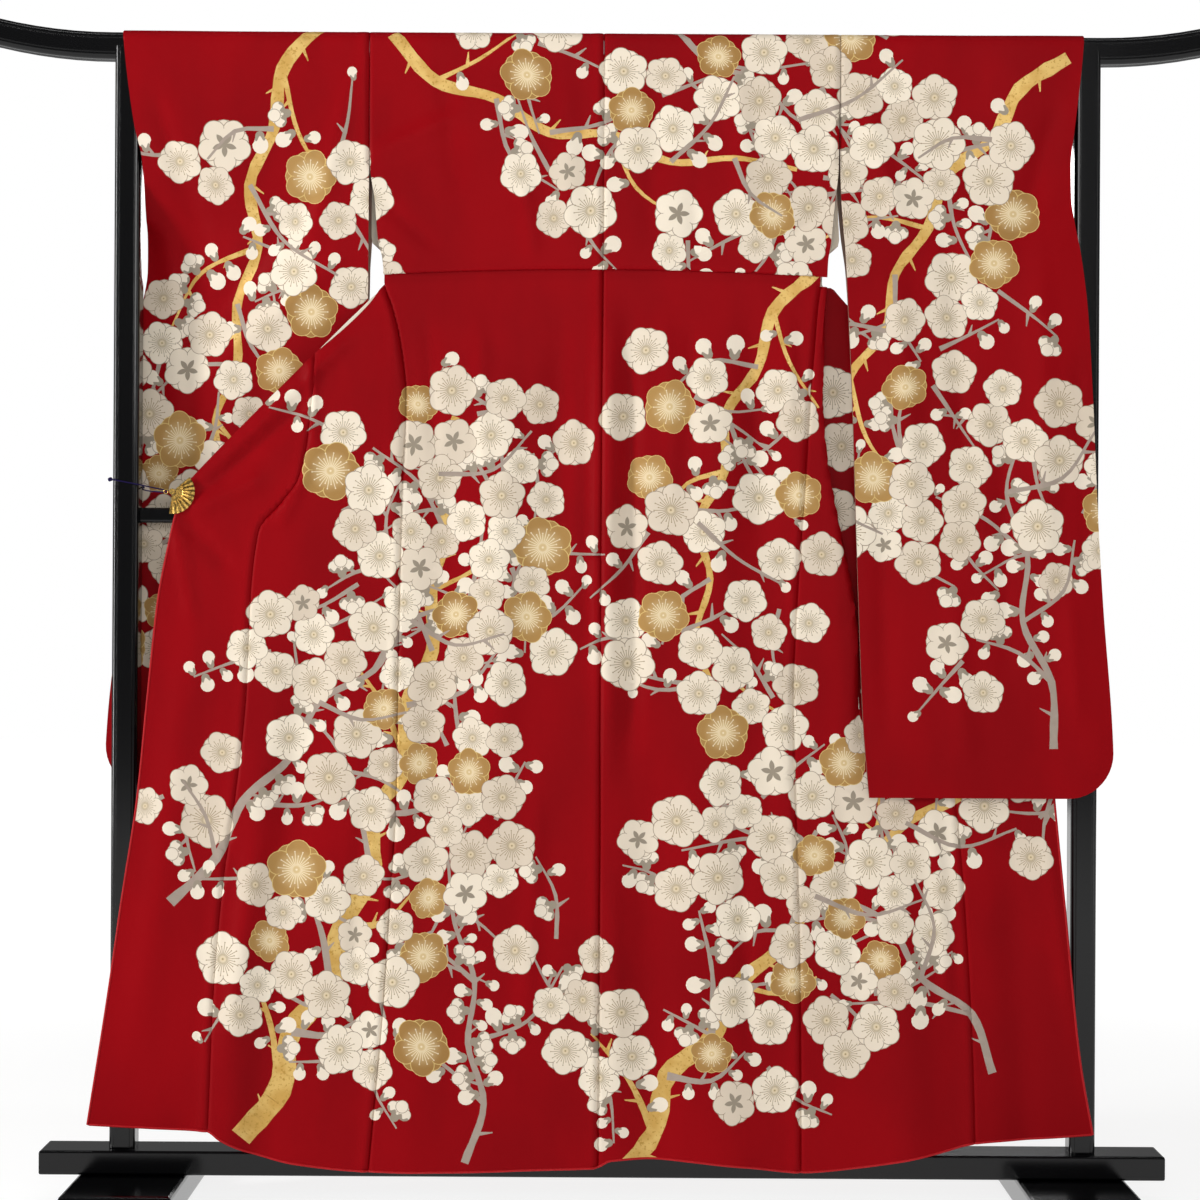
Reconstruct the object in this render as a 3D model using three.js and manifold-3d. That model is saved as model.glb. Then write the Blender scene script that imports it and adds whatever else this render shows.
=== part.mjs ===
// A long-sleeved silk furisode kimono, spread over a lacquered kimono stand with its back to the front (-Y).
// Millimetres, +Z up. The origin is on the floor, midway between the stand's two feet.
// Each cut piece of cloth is a thin closed wall. Its middle surface is a grid of points, and its two
// faces lie half a thickness to each side of that surface.
import * as THREE from "three";
import { mergeVertices } from "three/addons/utils/BufferGeometryUtils.js";
import Module from "manifold-3d";

// ---- driving dimensions -------------------------------------------------------------------------

const CLOTH = 1.8; // thickness of lined silk, shell and lining together
const SEAM = 0.3; // gap left between two pieces that are sewn to each other

// The stand.
const ROD_AXIS = 1612; // height of the top rod's axis
const ROD_SIZE = 38;
const ROD_REACH = 880; // from the middle to each end
const ROD_RISE = 26; // how far the upturned ends rise
const ROD_STRAIGHT = 690; // from the middle to where they begin to rise
const POST_AT = 669; // from the middle to each post's axis
const POST_WIDE = 36;
const POST_DEEP = 46;
const BAR_AXIS = 957; // height of the cross bar's axis
const BAR_HIGH = 21;
const BAR_DEEP = 18;
const RAIL_BOTTOM = 40;
const RAIL_TOP = 74;
const RAIL_LONG = 1562;
const RAIL_DEEP = 80;
const FOOT_AT = 652; // from the middle to each foot's middle
const FOOT_WIDE = 152;
const FOOT_LONG = 380;
const GAP = 0.3; // between two pieces of the stand that touch

// The way the cloth passes over the rod.
const HANG = 20.6; // from the rod's axis to the middle of the cloth
const CORNER = 11; // radius at which the cloth turns down
const RIDGE = ROD_AXIS + HANG;
const FALL = RIDGE - CORNER; // height at which the cloth hangs free
const OVER = HANG - CORNER + (Math.PI / 2) * CORNER; // length of cloth from the ridge to there

// The tuck sewn across the back at the waist.
const TUCK_HEIGHT = 1304;
const TUCK_SAG = 9; // lower at the sides than in the middle
const TUCK_DEEP = 28; // how far the cloth folds up behind
const TUCK_TURN = 1.6; // radius of its two folds

const CENTRE = -6; // the centre back seam
const SLEEVE_END = 571; // height of the sleeves' lower edge
const SLEEVE_ROUND = 66; // radius of their outer lower corner
const OPENING_END = 1403; // lower end of the wrist opening
const COLLAR_WIDE = 55;
const NECK_ROUND = 58;
const NECK_HALF = 101; // from the centre seam to each side of the neck
const PLEAT_TURN = 4; // radius of the two folds in the right front's pleat
const PLEAT_BACK = 22; // how far that pleat runs back

// ---- tables: a row for each height ---------------------------------------------------------------

// Where the back's outer edges lie: the sleeve seam above, the open underarm, the waist, the side seam.
const BACK_EDGES = [
  { height: 1634, left: -333, right: 324 },
  { height: 1447, left: -331, right: 322 },
  { height: 1398, left: -324, right: 317 },
  { height: 1336, left: -318, right: 311 },
  { height: 1318, left: -313, right: 308 },
  { height: 1300, left: -311, right: 307 },
];
const SIDE_SEAMS = [
  { height: 1335, left: -309, right: 300 },
  { height: 1281, left: -310, right: 297 },
  { height: 1250, left: -300, right: 293 },
  { height: 1200, left: -288, right: 289 },
  { height: 1120, left: -279, right: 283 },
  { height: 981, left: -284, right: 275 },
  { height: 842, left: -286, right: 266 },
  { height: 703, left: -288, right: 261 },
  { height: 564, left: -289, right: 265 },
  { height: 425, left: -296, right: 270 },
  { height: 286, left: -304, right: 273 },
  { height: 45, left: -324, right: 275 },
];
// The left front is drawn out to the side: the seam to its overlap panel, and that panel's free edge.
const LEFT_FRONT = [
  { height: 1281, seam: -406, free: -591 },
  { height: 1190, seam: -406, free: -591 },
  { height: 1120, seam: -409, free: -591 },
  { height: 1050, seam: -417, free: -591 },
  { height: 1005, seam: -428, free: -592 },
  { height: 975, seam: -450, free: -594 },
  { height: 936, seam: -482, free: -602 },
  { height: 842, seam: -493, free: -620 },
  { height: 703, seam: -498, free: -634 },
  { height: 564, seam: -512, free: -647 },
  { height: 425, seam: -530, free: -667 },
  { height: 286, seam: -540, free: -686 },
  { height: 100, seam: -546, free: -714 },
];
// The right front: the front edge of its pleat, how far the pleat is closed, the overlap panel's two edges.
const RIGHT_FRONT = [
  { height: 1283, fold: 307, closed: 1, seam: 352, free: 560 },
  { height: 1200, fold: 303, closed: 1, seam: 376, free: 560 },
  { height: 1120, fold: 302, closed: 1, seam: 386, free: 560 },
  { height: 1051, fold: 307, closed: 1, seam: 394, free: 562 },
  { height: 954, fold: 324, closed: 1, seam: 408, free: 582 },
  { height: 842, fold: 347, closed: 1, seam: 430, free: 598 },
  { height: 759, fold: 357, closed: 0.8, seam: 452, free: 606 },
  { height: 660, fold: 362, closed: 0.25, seam: 472, free: 616 },
  { height: 564, fold: 360, closed: 0, seam: 487, free: 625 },
  { height: 425, fold: 355, closed: 0, seam: 500, free: 639 },
  { height: 217, fold: 355, closed: 0, seam: 512, free: 660 },
  { height: 90, fold: 355, closed: 0, seam: 516, free: 682 },
];
// The hem's height, across the whole width of the spread skirt.
const HEM = [
  { across: -714, height: 112 },
  { across: -630, height: 108 },
  { across: -546, height: 104 },
  { across: -528, height: 92 },
  { across: -493, height: 76 },
  { across: -424, height: 59 },
  { across: -324, height: 50 },
  { across: -215, height: 49 },
  { across: -90, height: 53 },
  { across: -10, height: 56 },
  { across: 12, height: 66 },
  { across: 62, height: 69 },
  { across: 200, height: 59 },
  { across: 275, height: 52 },
  { across: 355, height: 59 },
  { across: 412, height: 68 },
  { across: 466, height: 80 },
  { across: 516, height: 93 },
  { across: 590, height: 99 },
  { across: 682, height: 106 },
];
// How far in front of the rod's axis the skirt hangs.
const SKIRT_DEPTH = [
  { height: 1335, depth: -20.6 },
  { height: 1300, depth: -21 },
  { height: 1200, depth: -26.5 },
  { height: 1000, depth: -33 },
  { height: 842, depth: -36 },
  { height: 564, depth: -40 },
  { height: 300, depth: -45 },
  { height: 45, depth: -50 },
];
// The skirt's largest soft folds: a row each, with how far it stands out (+) or lies back (-), its half
// width, and how much it drifts sideways for each millimetre that it runs down.
const FOLDS = [
  { across: 6, drift: 0.0, top: 1290, bottom: 520, half: 15, out: 3.5 },
  { across: 32, drift: 0.01, top: 1290, bottom: 560, half: 17, out: -5.5 },
  { across: 150, drift: 0.02, top: 1250, bottom: 620, half: 34, out: 4 },
  { across: 204, drift: 0.03, top: 1290, bottom: 860, half: 22, out: -4.5 },
  { across: -62, drift: -0.01, top: 1290, bottom: 860, half: 20, out: -3.5 },
  { across: -134, drift: -0.03, top: 1190, bottom: 520, half: 30, out: 4.5 },
  { across: -215, drift: -0.05, top: 1100, bottom: 300, half: 26, out: -3.5 },
  { across: 58, drift: 0.02, top: 640, bottom: -200, half: 30, out: -4.5 },
  { across: 132, drift: 0.05, top: 760, bottom: -200, half: 48, out: 4.5 },
  { across: -260, drift: -0.02, top: 620, bottom: -200, half: 40, out: 3.5 },
  { across: -400, drift: -0.09, top: 900, bottom: -200, half: 34, out: -4 },
  { across: -455, drift: -0.1, top: 760, bottom: -200, half: 30, out: 3.5 },
  { across: -560, drift: -0.13, top: 860, bottom: 160, half: 26, out: 3 },
  { across: 400, drift: 0.06, top: 560, bottom: -200, half: 36, out: 4 },
  { across: 560, drift: 0.06, top: 560, bottom: -200, half: 26, out: -3 },
];
// The upper back, from the rod to the tuck, stands out a little more than the skirt below it.
const YOKE_DEPTH = [
  { height: RIDGE, depth: -HANG },
  { height: 1600, depth: -HANG },
  { height: 1500, depth: -22 },
  { height: 1400, depth: -25 },
  { height: 1300, depth: -27.2 },
];
// Each sleeve: its inner and outer edges, and the depth of its near and far layers along both.
// The left sleeve hangs behind its post and the cross bar, the right one in front of everything.
const LEFT_SLEEVE = [
  { height: 1634, inner: -333, outer: -676, nearIn: -20.6, nearOut: -24.8, farIn: 20.6, farOut: 24.8 },
  { height: 1585, inner: -333, outer: -671, nearIn: -20.6, nearOut: -26, farIn: 20.6, farOut: 26 },
  { height: 1500, inner: -332.6, outer: -659, nearIn: -20.6, nearOut: -26, farIn: 20.8, farOut: 26 },
  { height: 1450, inner: -332, outer: -648, nearIn: -20.4, nearOut: -24, farIn: 21, farOut: 26.5 },
  { height: 1403, inner: -332.4, outer: -646, nearIn: -19, nearOut: -9, farIn: 22, farOut: 28 },
  { height: 1357, inner: -332.6, outer: -646, nearIn: -17, nearOut: 10, farIn: 23, farOut: 31 },
  { height: 1300, inner: -333, outer: -647, nearIn: -12, nearOut: 24.5, farIn: 24, farOut: 34 },
  { height: 1250, inner: -334, outer: -655, nearIn: -6, nearOut: 27, farIn: 25, farOut: 35 },
  { height: 1121, inner: -338, outer: -668, nearIn: 9, nearOut: 27, farIn: 28, farOut: 35 },
  { height: 981, inner: -343, outer: -675, nearIn: 22, nearOut: 27, farIn: 33, farOut: 35 },
  { height: 842, inner: -350, outer: -683, nearIn: 26, nearOut: 27, farIn: 34, farOut: 35 },
  { height: 676, inner: -358, outer: -700, nearIn: 27, nearOut: 27, farIn: 35, farOut: 35 },
  { height: 571, inner: -366, outer: -706, nearIn: 27, nearOut: 27, farIn: 35, farOut: 35 },
];
const RIGHT_SLEEVE = [
  { height: 1634, inner: 324, outer: 663, nearIn: -20.6, nearOut: -24.8, farIn: 20.6, farOut: 24.8 },
  { height: 1585, inner: 324, outer: 659, nearIn: -20.6, nearOut: -26, farIn: 20.6, farOut: 26 },
  { height: 1500, inner: 324, outer: 649.5, nearIn: -21, nearOut: -27, farIn: 21, farOut: 26 },
  { height: 1450, inner: 324, outer: 644, nearIn: -22, nearOut: -28, farIn: 21, farOut: 12 },
  { height: 1403, inner: 325.5, outer: 644.5, nearIn: -25, nearOut: -31, farIn: 14, farOut: -14 },
  { height: 1370, inner: 327.5, outer: 649, nearIn: -28, nearOut: -35, farIn: 7, farOut: -27.5 },
  { height: 1329, inner: 331, outer: 657, nearIn: -33, nearOut: -39, farIn: -4, farOut: -33 },
  { height: 1246, inner: 335, outer: 667, nearIn: -42, nearOut: -44, farIn: -32, farOut: -38.5 },
  { height: 1121, inner: 340.5, outer: 674, nearIn: -50, nearOut: -50, farIn: -42, farOut: -43 },
  { height: 981, inner: 345, outer: 680, nearIn: -55, nearOut: -54, farIn: -47, farOut: -47 },
  { height: 842, inner: 350, outer: 688, nearIn: -58, nearOut: -58, farIn: -50, farOut: -50 },
  { height: 676, inner: 357, outer: 701, nearIn: -61, nearOut: -61, farIn: -53, farOut: -53 },
  { height: 571, inner: 366, outer: 706, nearIn: -62, nearOut: -62, farIn: -54, farOut: -54 },
];
// Each front's upper length hangs behind the rod and sweeps out to the side. A row is a line across it:
// a point on its outer edge, x y z, and one on its inner edge, where the collar is sewn on.
const LEFT_CHEST = [
  { outer: [-332.4, 20.6, 1562], inner: [-107.4, 20.6, 1562] },
  { outer: [-331.6, 21, 1500], inner: [-109, 20.6, 1490] },
  { outer: [-331, 20, 1447], inner: [-111, 20, 1430] },
  { outer: [-331, 17, 1385], inner: [-116, 18, 1370] },
  { outer: [-330.6, 13, 1345], inner: [-122, 16, 1325] },
  { outer: [-312, 6, 1325], inner: [-130, 13, 1295] },
  { outer: [-306, -6, 1302], inner: [-145, 9, 1265] },
  { outer: [-308, -15.5, 1283], inner: [-170, 5, 1232] },
  { outer: [-330, -19.5, 1259], inner: [-215, -1, 1190] },
  { outer: [-372, -22.5, 1217], inner: [-280, -9, 1135] },
  { outer: [-440, -25.5, 1147], inner: [-370, -17, 1075] },
  { outer: [-510, -27.5, 1073], inner: [-465, -23, 1020] },
  { outer: [-572, -29.2, 1006], inner: [-556, -26.5, 984] },
];
const RIGHT_CHEST = [
  { outer: [323.4, 20.6, 1562], inner: [95.4, 20.6, 1562] },
  { outer: [323.2, 21, 1500], inner: [97, 20.6, 1490] },
  { outer: [323, 20, 1447], inner: [99, 20, 1430] },
  { outer: [324.5, 17, 1385], inner: [104, 18, 1370] },
  { outer: [326, 14, 1345], inner: [110, 16, 1325] },
  { outer: [308.5, 10, 1325], inner: [118, 13, 1295] },
  { outer: [302, 1, 1302], inner: [133, 9, 1265] },
  { outer: [301, -1.5, 1287], inner: [158, 5, 1232] },
  { outer: [322, -3, 1259], inner: [203, 0, 1190] },
  { outer: [362, -6, 1217], inner: [268, -1, 1135] },
  { outer: [425, -8.5, 1152], inner: [352, -4, 1085] },
  { outer: [500, -11, 1082], inner: [455, -8, 1040] },
  { outer: [552, -12.5, 1040], inner: [541, -11, 1016] },
];
const COLLAR_FROM = 4; // the chest row at which the lower collar takes over from the over-collar

// The clip that holds the left front out, and its cord round the left post.
const CLIP_AT = [-601, 989]; // x and z of its pivot
const CLIP_REACH = 31;
const CLIP_FROM = 40; // degrees above level, the upper rib
const CLIP_TO = -98; // the lower rib
const CLIP_RIBS = 10;
const CORD_WIDE = 1.8;
const CORD_ROUTE = [
  [-607.8, -35.6, 990.2],
  [-615, -34, 991.8],
  [-632, -29.5, 995.2],
  [-650, -25.8, 999],
  [-668, -24.8, 1002.4],
  [-684, -24.7, 1005.4],
  [-688.2, -23.6, 1006.2],
  [-688.8, -20, 1006.4],
  [-688.8, -8, 1006.2],
  [-688.8, 8, 1005.2],
  [-688.8, 19, 1004.2],
  [-687.8, 23.4, 1003.6],
  [-683, 24.5, 1003],
  [-668, 24.5, 1000.6],
  [-654, 24.4, 998.2],
  [-650.2, 23.2, 997.4],
  [-649.2, 19, 996.6],
  [-649, 4, 994.4],
  [-645, -9, 992.2],
  [-632, -22, 989.8],
  [-617, -32, 988.4],
  [-607.8, -36.2, 987.8],
];

// ---- finishes ------------------------------------------------------------------------------------

const finish = (color, roughness, metalness) => new THREE.MeshStandardMaterial({ color, roughness, metalness });
const silk = () => finish(0xb00d16, 0.6, 0);
const lacquer = () => finish(0x08080a, 0.12, 0);
const gilt = () => finish(0xc9a24a, 0.3, 1);
const braid = () => finish(0x221544, 0.8, 0);

const part = new THREE.Group();

function add(name, geometry, material) {
  const mesh = new THREE.Mesh(geometry, material);
  mesh.name = name;
  part.add(mesh);
  return mesh;
}

// ---- curves and walls ------------------------------------------------------------------------------

// A column's value on a smooth curve through a table's rows, without overshoot between them.
function valueAt(rows, key, column, place) {
  const last = rows.length - 1;
  const way = Math.sign(rows[last][key] - rows[0][key]);
  if ((place - rows[0][key]) * way <= 0) return rows[0][column];
  if ((place - rows[last][key]) * way >= 0) return rows[last][column];
  let i = 0;
  while ((place - rows[i + 1][key]) * way > 0) i += 1;
  const slope = (k) => (rows[k + 1][column] - rows[k][column]) / (rows[k + 1][key] - rows[k][key]);
  const tangent = (k) => {
    if (k === 0) return slope(0);
    if (k === last) return slope(last - 1);
    const product = slope(k - 1) * slope(k);
    return product > 0 ? (2 * product) / (slope(k - 1) + slope(k)) : 0;
  };
  const span = rows[i + 1][key] - rows[i][key];
  const t = (place - rows[i][key]) / span;
  return (
    rows[i][column] * (1 + 2 * t) * (1 - t) ** 2 +
    rows[i + 1][column] * t * t * (3 - 2 * t) +
    span * tangent(i) * t * (1 - t) ** 2 -
    span * tangent(i + 1) * t * t * (1 - t)
  );
}

const mix = THREE.MathUtils.lerp;
const ease = THREE.MathUtils.smoothstep;

// Evenly spaced numbers from first to last.
function steps(first, last, count) {
  return Array.from({ length: count + 1 }, (_, i) => mix(first, last, i / count));
}

// A closed wall about a grid of points. Its outer face is on the side of (along a row) x (down the rows).
function wall(grid, thickness = CLOTH) {
  const rows = grid.length;
  const columns = grid[0].length;
  const point = (j, i) => grid[Math.min(Math.max(j, 0), rows - 1)][Math.min(Math.max(i, 0), columns - 1)];
  const outer = [];
  const inner = [];
  for (let j = 0; j < rows; j += 1) {
    for (let i = 0; i < columns; i += 1) {
      const across = point(j, i + 1).clone().sub(point(j, i - 1));
      const down = point(j + 1, i).clone().sub(point(j - 1, i));
      const normal = across.cross(down).normalize().multiplyScalar(thickness / 2);
      outer.push(point(j, i).clone().add(normal));
      inner.push(point(j, i).clone().sub(normal));
    }
  }
  const vertices = [...outer, ...inner];
  const index = [];
  const half = rows * columns;
  const at = (j, i) => j * columns + i;
  for (let j = 0; j + 1 < rows; j += 1) {
    for (let i = 0; i + 1 < columns; i += 1) {
      const [a, b, c, d] = [at(j, i), at(j, i + 1), at(j + 1, i + 1), at(j + 1, i)];
      index.push(a, b, c, a, c, d);
      index.push(a + half, c + half, b + half, a + half, d + half, c + half);
    }
  }
  const rim = [];
  for (let i = 0; i < columns; i += 1) rim.push(at(0, i));
  for (let j = 1; j < rows; j += 1) rim.push(at(j, columns - 1));
  for (let i = columns - 2; i >= 0; i -= 1) rim.push(at(rows - 1, i));
  for (let j = rows - 2; j > 0; j -= 1) rim.push(at(j, 0));
  for (let k = 0; k < rim.length; k += 1) {
    const [a, b] = [rim[k], rim[(k + 1) % rim.length]];
    index.push(b, a, a + half, b, a + half, b + half);
  }
  const geometry = new THREE.BufferGeometry();
  geometry.setAttribute("position", new THREE.Float32BufferAttribute(vertices.flatMap((v) => v.toArray()), 3));
  geometry.setIndex(index);
  geometry.computeVertexNormals();
  return geometry;
}

// ---- the cloth's form ------------------------------------------------------------------------------

// Where cloth lies over the rod, at a length from the ridge: its distance from the axis, and its height.
function overRod(length) {
  const flat = HANG - CORNER;
  if (length <= flat) return [length, RIDGE];
  const turn = Math.min((length - flat) / CORNER, Math.PI / 2);
  return [flat + CORNER * Math.sin(turn), FALL + CORNER * Math.cos(turn)];
}
const OVER_STEPS = [SEAM / 2, HANG - CORNER, ...steps(HANG - CORNER, OVER, 4).slice(1)];

function folds(across, height) {
  let out = 0;
  for (const fold of FOLDS) {
    const away = (across - fold.across - fold.drift * (fold.top - height)) / fold.half;
    const ends = Math.min(fold.top - height, height - fold.bottom);
    out += fold.out * Math.exp(-away * away) * ease(ends, 0, 180);
  }
  return out;
}

const skirtDepth = (across, height) => valueAt(SKIRT_DEPTH, "height", "depth", height) - folds(across, height);
const hem = (across) => valueAt(HEM, "across", "height", across);
const SKIRT_TOP = 1280; // where the side seams begin, below the tuck
const SKIRT_ROWS = 15;
const tuckHeight = (across) => TUCK_HEIGHT - TUCK_SAG * ((across - CENTRE) / 310) ** 2;

// Depth and height of each row of the back, at one place across it: over the rod, down to the tuck,
// round its two folds, and down to the hem.
function backRows(across, foot) {
  const tuck = tuckHeight(across);
  const rows = OVER_STEPS.map((length) => {
    const [away, height] = overRod(length);
    return { depth: -away, height, above: true };
  });
  for (const height of steps(FALL, tuck, 6).slice(1))
    rows.push({ depth: valueAt(YOKE_DEPTH, "height", "depth", height), height, above: true });
  const front = valueAt(YOKE_DEPTH, "height", "depth", tuck);
  for (const turn of steps(0, Math.PI, 4).slice(1))
    rows.push({
      depth: front + TUCK_TURN * (1 - Math.cos(turn)),
      height: tuck - TUCK_TURN * Math.sin(turn),
      above: true,
    });
  const top = tuck + TUCK_DEEP;
  for (const turn of steps(0, Math.PI, 4))
    rows.push({
      depth: front + 2 * TUCK_TURN + TUCK_TURN * (1 - Math.cos(turn)),
      height: top + TUCK_TURN * Math.sin(turn),
      above: turn < Math.PI / 2,
    });
  rows.push({ depth: null, height: mix(top, SKIRT_TOP, 0.5), above: false });
  for (const height of steps(SKIRT_TOP, hem(foot), SKIRT_ROWS)) rows.push({ depth: null, height, above: false });
  return rows;
}

function backGrid(side) {
  const columns = steps(0, 1, 10).map((u) => {
    const edge = (table, height) => valueAt(table, "height", side, height);
    const shift = side === "left" ? SEAM / 2 : -SEAM / 2;
    const middle = CENTRE - shift;
    const at = (table, height) =>
      side === "left" ? mix(edge(table, height) + shift, middle, u) : mix(middle, edge(table, height) + shift, u);
    return backRows(at(BACK_EDGES, 1300), at(SIDE_SEAMS, 60)).map(({ depth, height, above }) => {
      const across = at(above ? BACK_EDGES : SIDE_SEAMS, height);
      return new THREE.Vector3(across, depth ?? skirtDepth(across, height), height);
    });
  });
  return columns[0].map((_, j) => columns.map((column) => column[j]));
}

// A stretch of skirt between two edges, from a sloping top to the hem. place(u, height) gives x and depth.
function skirtGrid(across, top, place) {
  return steps(0, 1, SKIRT_ROWS).map((v) =>
    across.map((u) => {
      const height = mix(top(u), hem(place(u, 60)[0]), v);
      const [x, depth] = place(u, height);
      return new THREE.Vector3(x, depth, height);
    }),
  );
}

// The left front, and its overlap panel.
function leftFrontPlace(u, height) {
  const seam = valueAt(LEFT_FRONT, "height", "seam", height) + SEAM / 2;
  const side = valueAt(SIDE_SEAMS, "height", "left", height) - SEAM / 2;
  const across = mix(seam, side, u);
  return [across, skirtDepth(across, height)];
}

function leftOverlapPlace(u, height) {
  const free = valueAt(LEFT_FRONT, "height", "free", height);
  const seam = valueAt(LEFT_FRONT, "height", "seam", height) - SEAM / 2;
  const across = mix(free, seam, u);
  return [across, skirtDepth(across, height)];
}

// The right front: a flat stretch from the side seam, two folds of a pleat, and the stretch behind it.
const PLEAT_AT = [0.34, 0.44, 0.52, 0.62]; // where along its width the pleat's parts begin and end

function rightFrontPlace(u, height) {
  const side = valueAt(SIDE_SEAMS, "height", "right", height) + SEAM / 2;
  const seam = valueAt(RIGHT_FRONT, "height", "seam", height) - SEAM / 2;
  const edge = valueAt(RIGHT_FRONT, "height", "fold", height);
  const closed = valueAt(RIGHT_FRONT, "height", "closed", height);
  const [first, second, third, fourth] = PLEAT_AT;
  const start = edge - PLEAT_TURN;
  const end = start - PLEAT_BACK;
  let x = 0;
  let back = 0;
  if (u <= first) {
    x = mix(side, start, u / first);
  } else if (u <= second) {
    const turn = (Math.PI * (u - first)) / (second - first);
    x = start + PLEAT_TURN * Math.sin(turn);
    back = PLEAT_TURN * (1 - Math.cos(turn));
  } else if (u <= third) {
    x = mix(start, end, (u - second) / (third - second));
    back = 2 * PLEAT_TURN;
  } else if (u <= fourth) {
    const turn = (Math.PI * (u - third)) / (fourth - third);
    x = end - PLEAT_TURN * Math.sin(turn);
    back = PLEAT_TURN * (3 - Math.cos(turn));
  } else {
    x = mix(end, seam, (u - fourth) / (1 - fourth));
    back = 4 * PLEAT_TURN;
  }
  const across = mix(mix(side, seam, u), x, closed);
  return [across, skirtDepth(across, height) + closed * back];
}

function rightOverlapPlace(u, height) {
  const seam = valueAt(RIGHT_FRONT, "height", "seam", height) + SEAM / 2;
  const free = valueAt(RIGHT_FRONT, "height", "free", height);
  const closed = valueAt(RIGHT_FRONT, "height", "closed", height);
  const across = mix(seam, free, u);
  return [across, skirtDepth(across, height) + closed * 4 * PLEAT_TURN];
}

// A sleeve layer: near or far, over the rod and down. Below the wrist opening its outer edge and its
// lower edge draw in to meet the other layer.
function sleeveGrid(table, far) {
  const way = Math.sign(table[0].outer);
  const sign = far ? 1 : -1;
  const column = (name, height) => valueAt(table, "height", name, height);
  const meet = CLOTH / 2 + SEAM / 2;
  const heights = [1560, 1500, 1450, 1403, 1370, 1340, 1290, 1235, 1160, 1070, 980, 880, 780, 690, 637];
  heights.push(608, 588, 576, SLEEVE_END);
  const across = [0, 0.16, 0.34, 0.52, 0.68, 0.81, 0.91, 0.97, 1];
  const outerAt = (height) => {
    const rise = Math.max(SLEEVE_ROUND - (height - SLEEVE_END), 0);
    const cut = SLEEVE_ROUND - Math.sqrt(SLEEVE_ROUND ** 2 - rise ** 2);
    return column("outer", height) - way * cut;
  };
  const xAt = (u, height) => mix(column("inner", height) + way * SEAM, outerAt(height), u);
  const depths = (u, height) => {
    const blend = mix(ease(u, 0.15, 0.9), ease(u, 0.5, 0.88), ease(height, 1380, 1500));
    const near = mix(column("nearIn", height), column("nearOut", height), blend);
    const farther = mix(column("farIn", height), column("farOut", height), blend);
    const fromEdge = Math.abs(outerAt(height) - xAt(u, height)) + 60 * ease(height, OPENING_END - 60, OPENING_END);
    const open = ease(fromEdge, -4, 34) * ease(height - SLEEVE_END, -4, 34);
    const middle = (near + farther) / 2;
    return middle + sign * mix(meet, Math.max((farther - near) / 2, meet), open);
  };
  const rows = [];
  for (const length of OVER_STEPS)
    rows.push(
      across.map((u) => {
        const [away, height] = overRod(length);
        const spread = Math.abs(depths(u, FALL)) / HANG;
        return new THREE.Vector3(xAt(u, height), sign * away * spread, height);
      }),
    );
  for (const height of heights) rows.push(across.map((u) => new THREE.Vector3(xAt(u, height), depths(u, height), height)));
  return rows;
}

// The neckline: two quarter rounds cut from the shoulders' ridge, each about a hub.
const neckHub = (way) => CENTRE + way * (NECK_HALF - NECK_ROUND);
const NECK_TURNS = steps(Math.PI / 2, 0, 14);

// A point on the cloth behind the rod, at a length from the ridge.
function onRod(x, length) {
  const [away, height] = length <= OVER ? overRod(length) : [HANG, FALL - (length - OVER)];
  return new THREE.Vector3(x, away, height);
}

// A front's upper length: over the back of the rod from the shoulder, then through the table's rows.

function chestGrid(table) {
  const way = Math.sign(table[0].outer[0]);
  const across = steps(0, 1, 7);
  const rows = [];
  for (const turn of NECK_TURNS) {
    const length = Math.max(NECK_ROUND * (1 - Math.sin(turn)), SEAM / 2);
    const edge = neckHub(way) + way * NECK_ROUND * Math.cos(turn);
    rows.push(across.map((u) => onRod(mix(table[0].outer[0], edge, u), length)));
  }
  for (const { outer, inner } of table) {
    const [from, to] = [new THREE.Vector3(...outer), new THREE.Vector3(...inner)];
    rows.push(across.map((u) => from.clone().lerp(to, u)));
  }
  return rows;
}

// The lower collar: a band along the chest's inner edge.
function collarGrid(table) {
  const way = Math.sign(table[0].outer[0]);
  const edge = table.slice(COLLAR_FROM).map(({ inner }) => new THREE.Vector3(...inner));
  return edge.map((point, j) => {
    const along = edge[Math.min(j + 1, edge.length - 1)].clone().sub(edge[Math.max(j - 1, 0)]);
    along.y = 0;
    along.normalize();
    const inward = new THREE.Vector3(way * along.z, 0, -way * along.x);
    return [SEAM, 20, 38, COLLAR_WIDE].map((reach) => point.clone().addScaledVector(inward, reach));
  });
}

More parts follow.
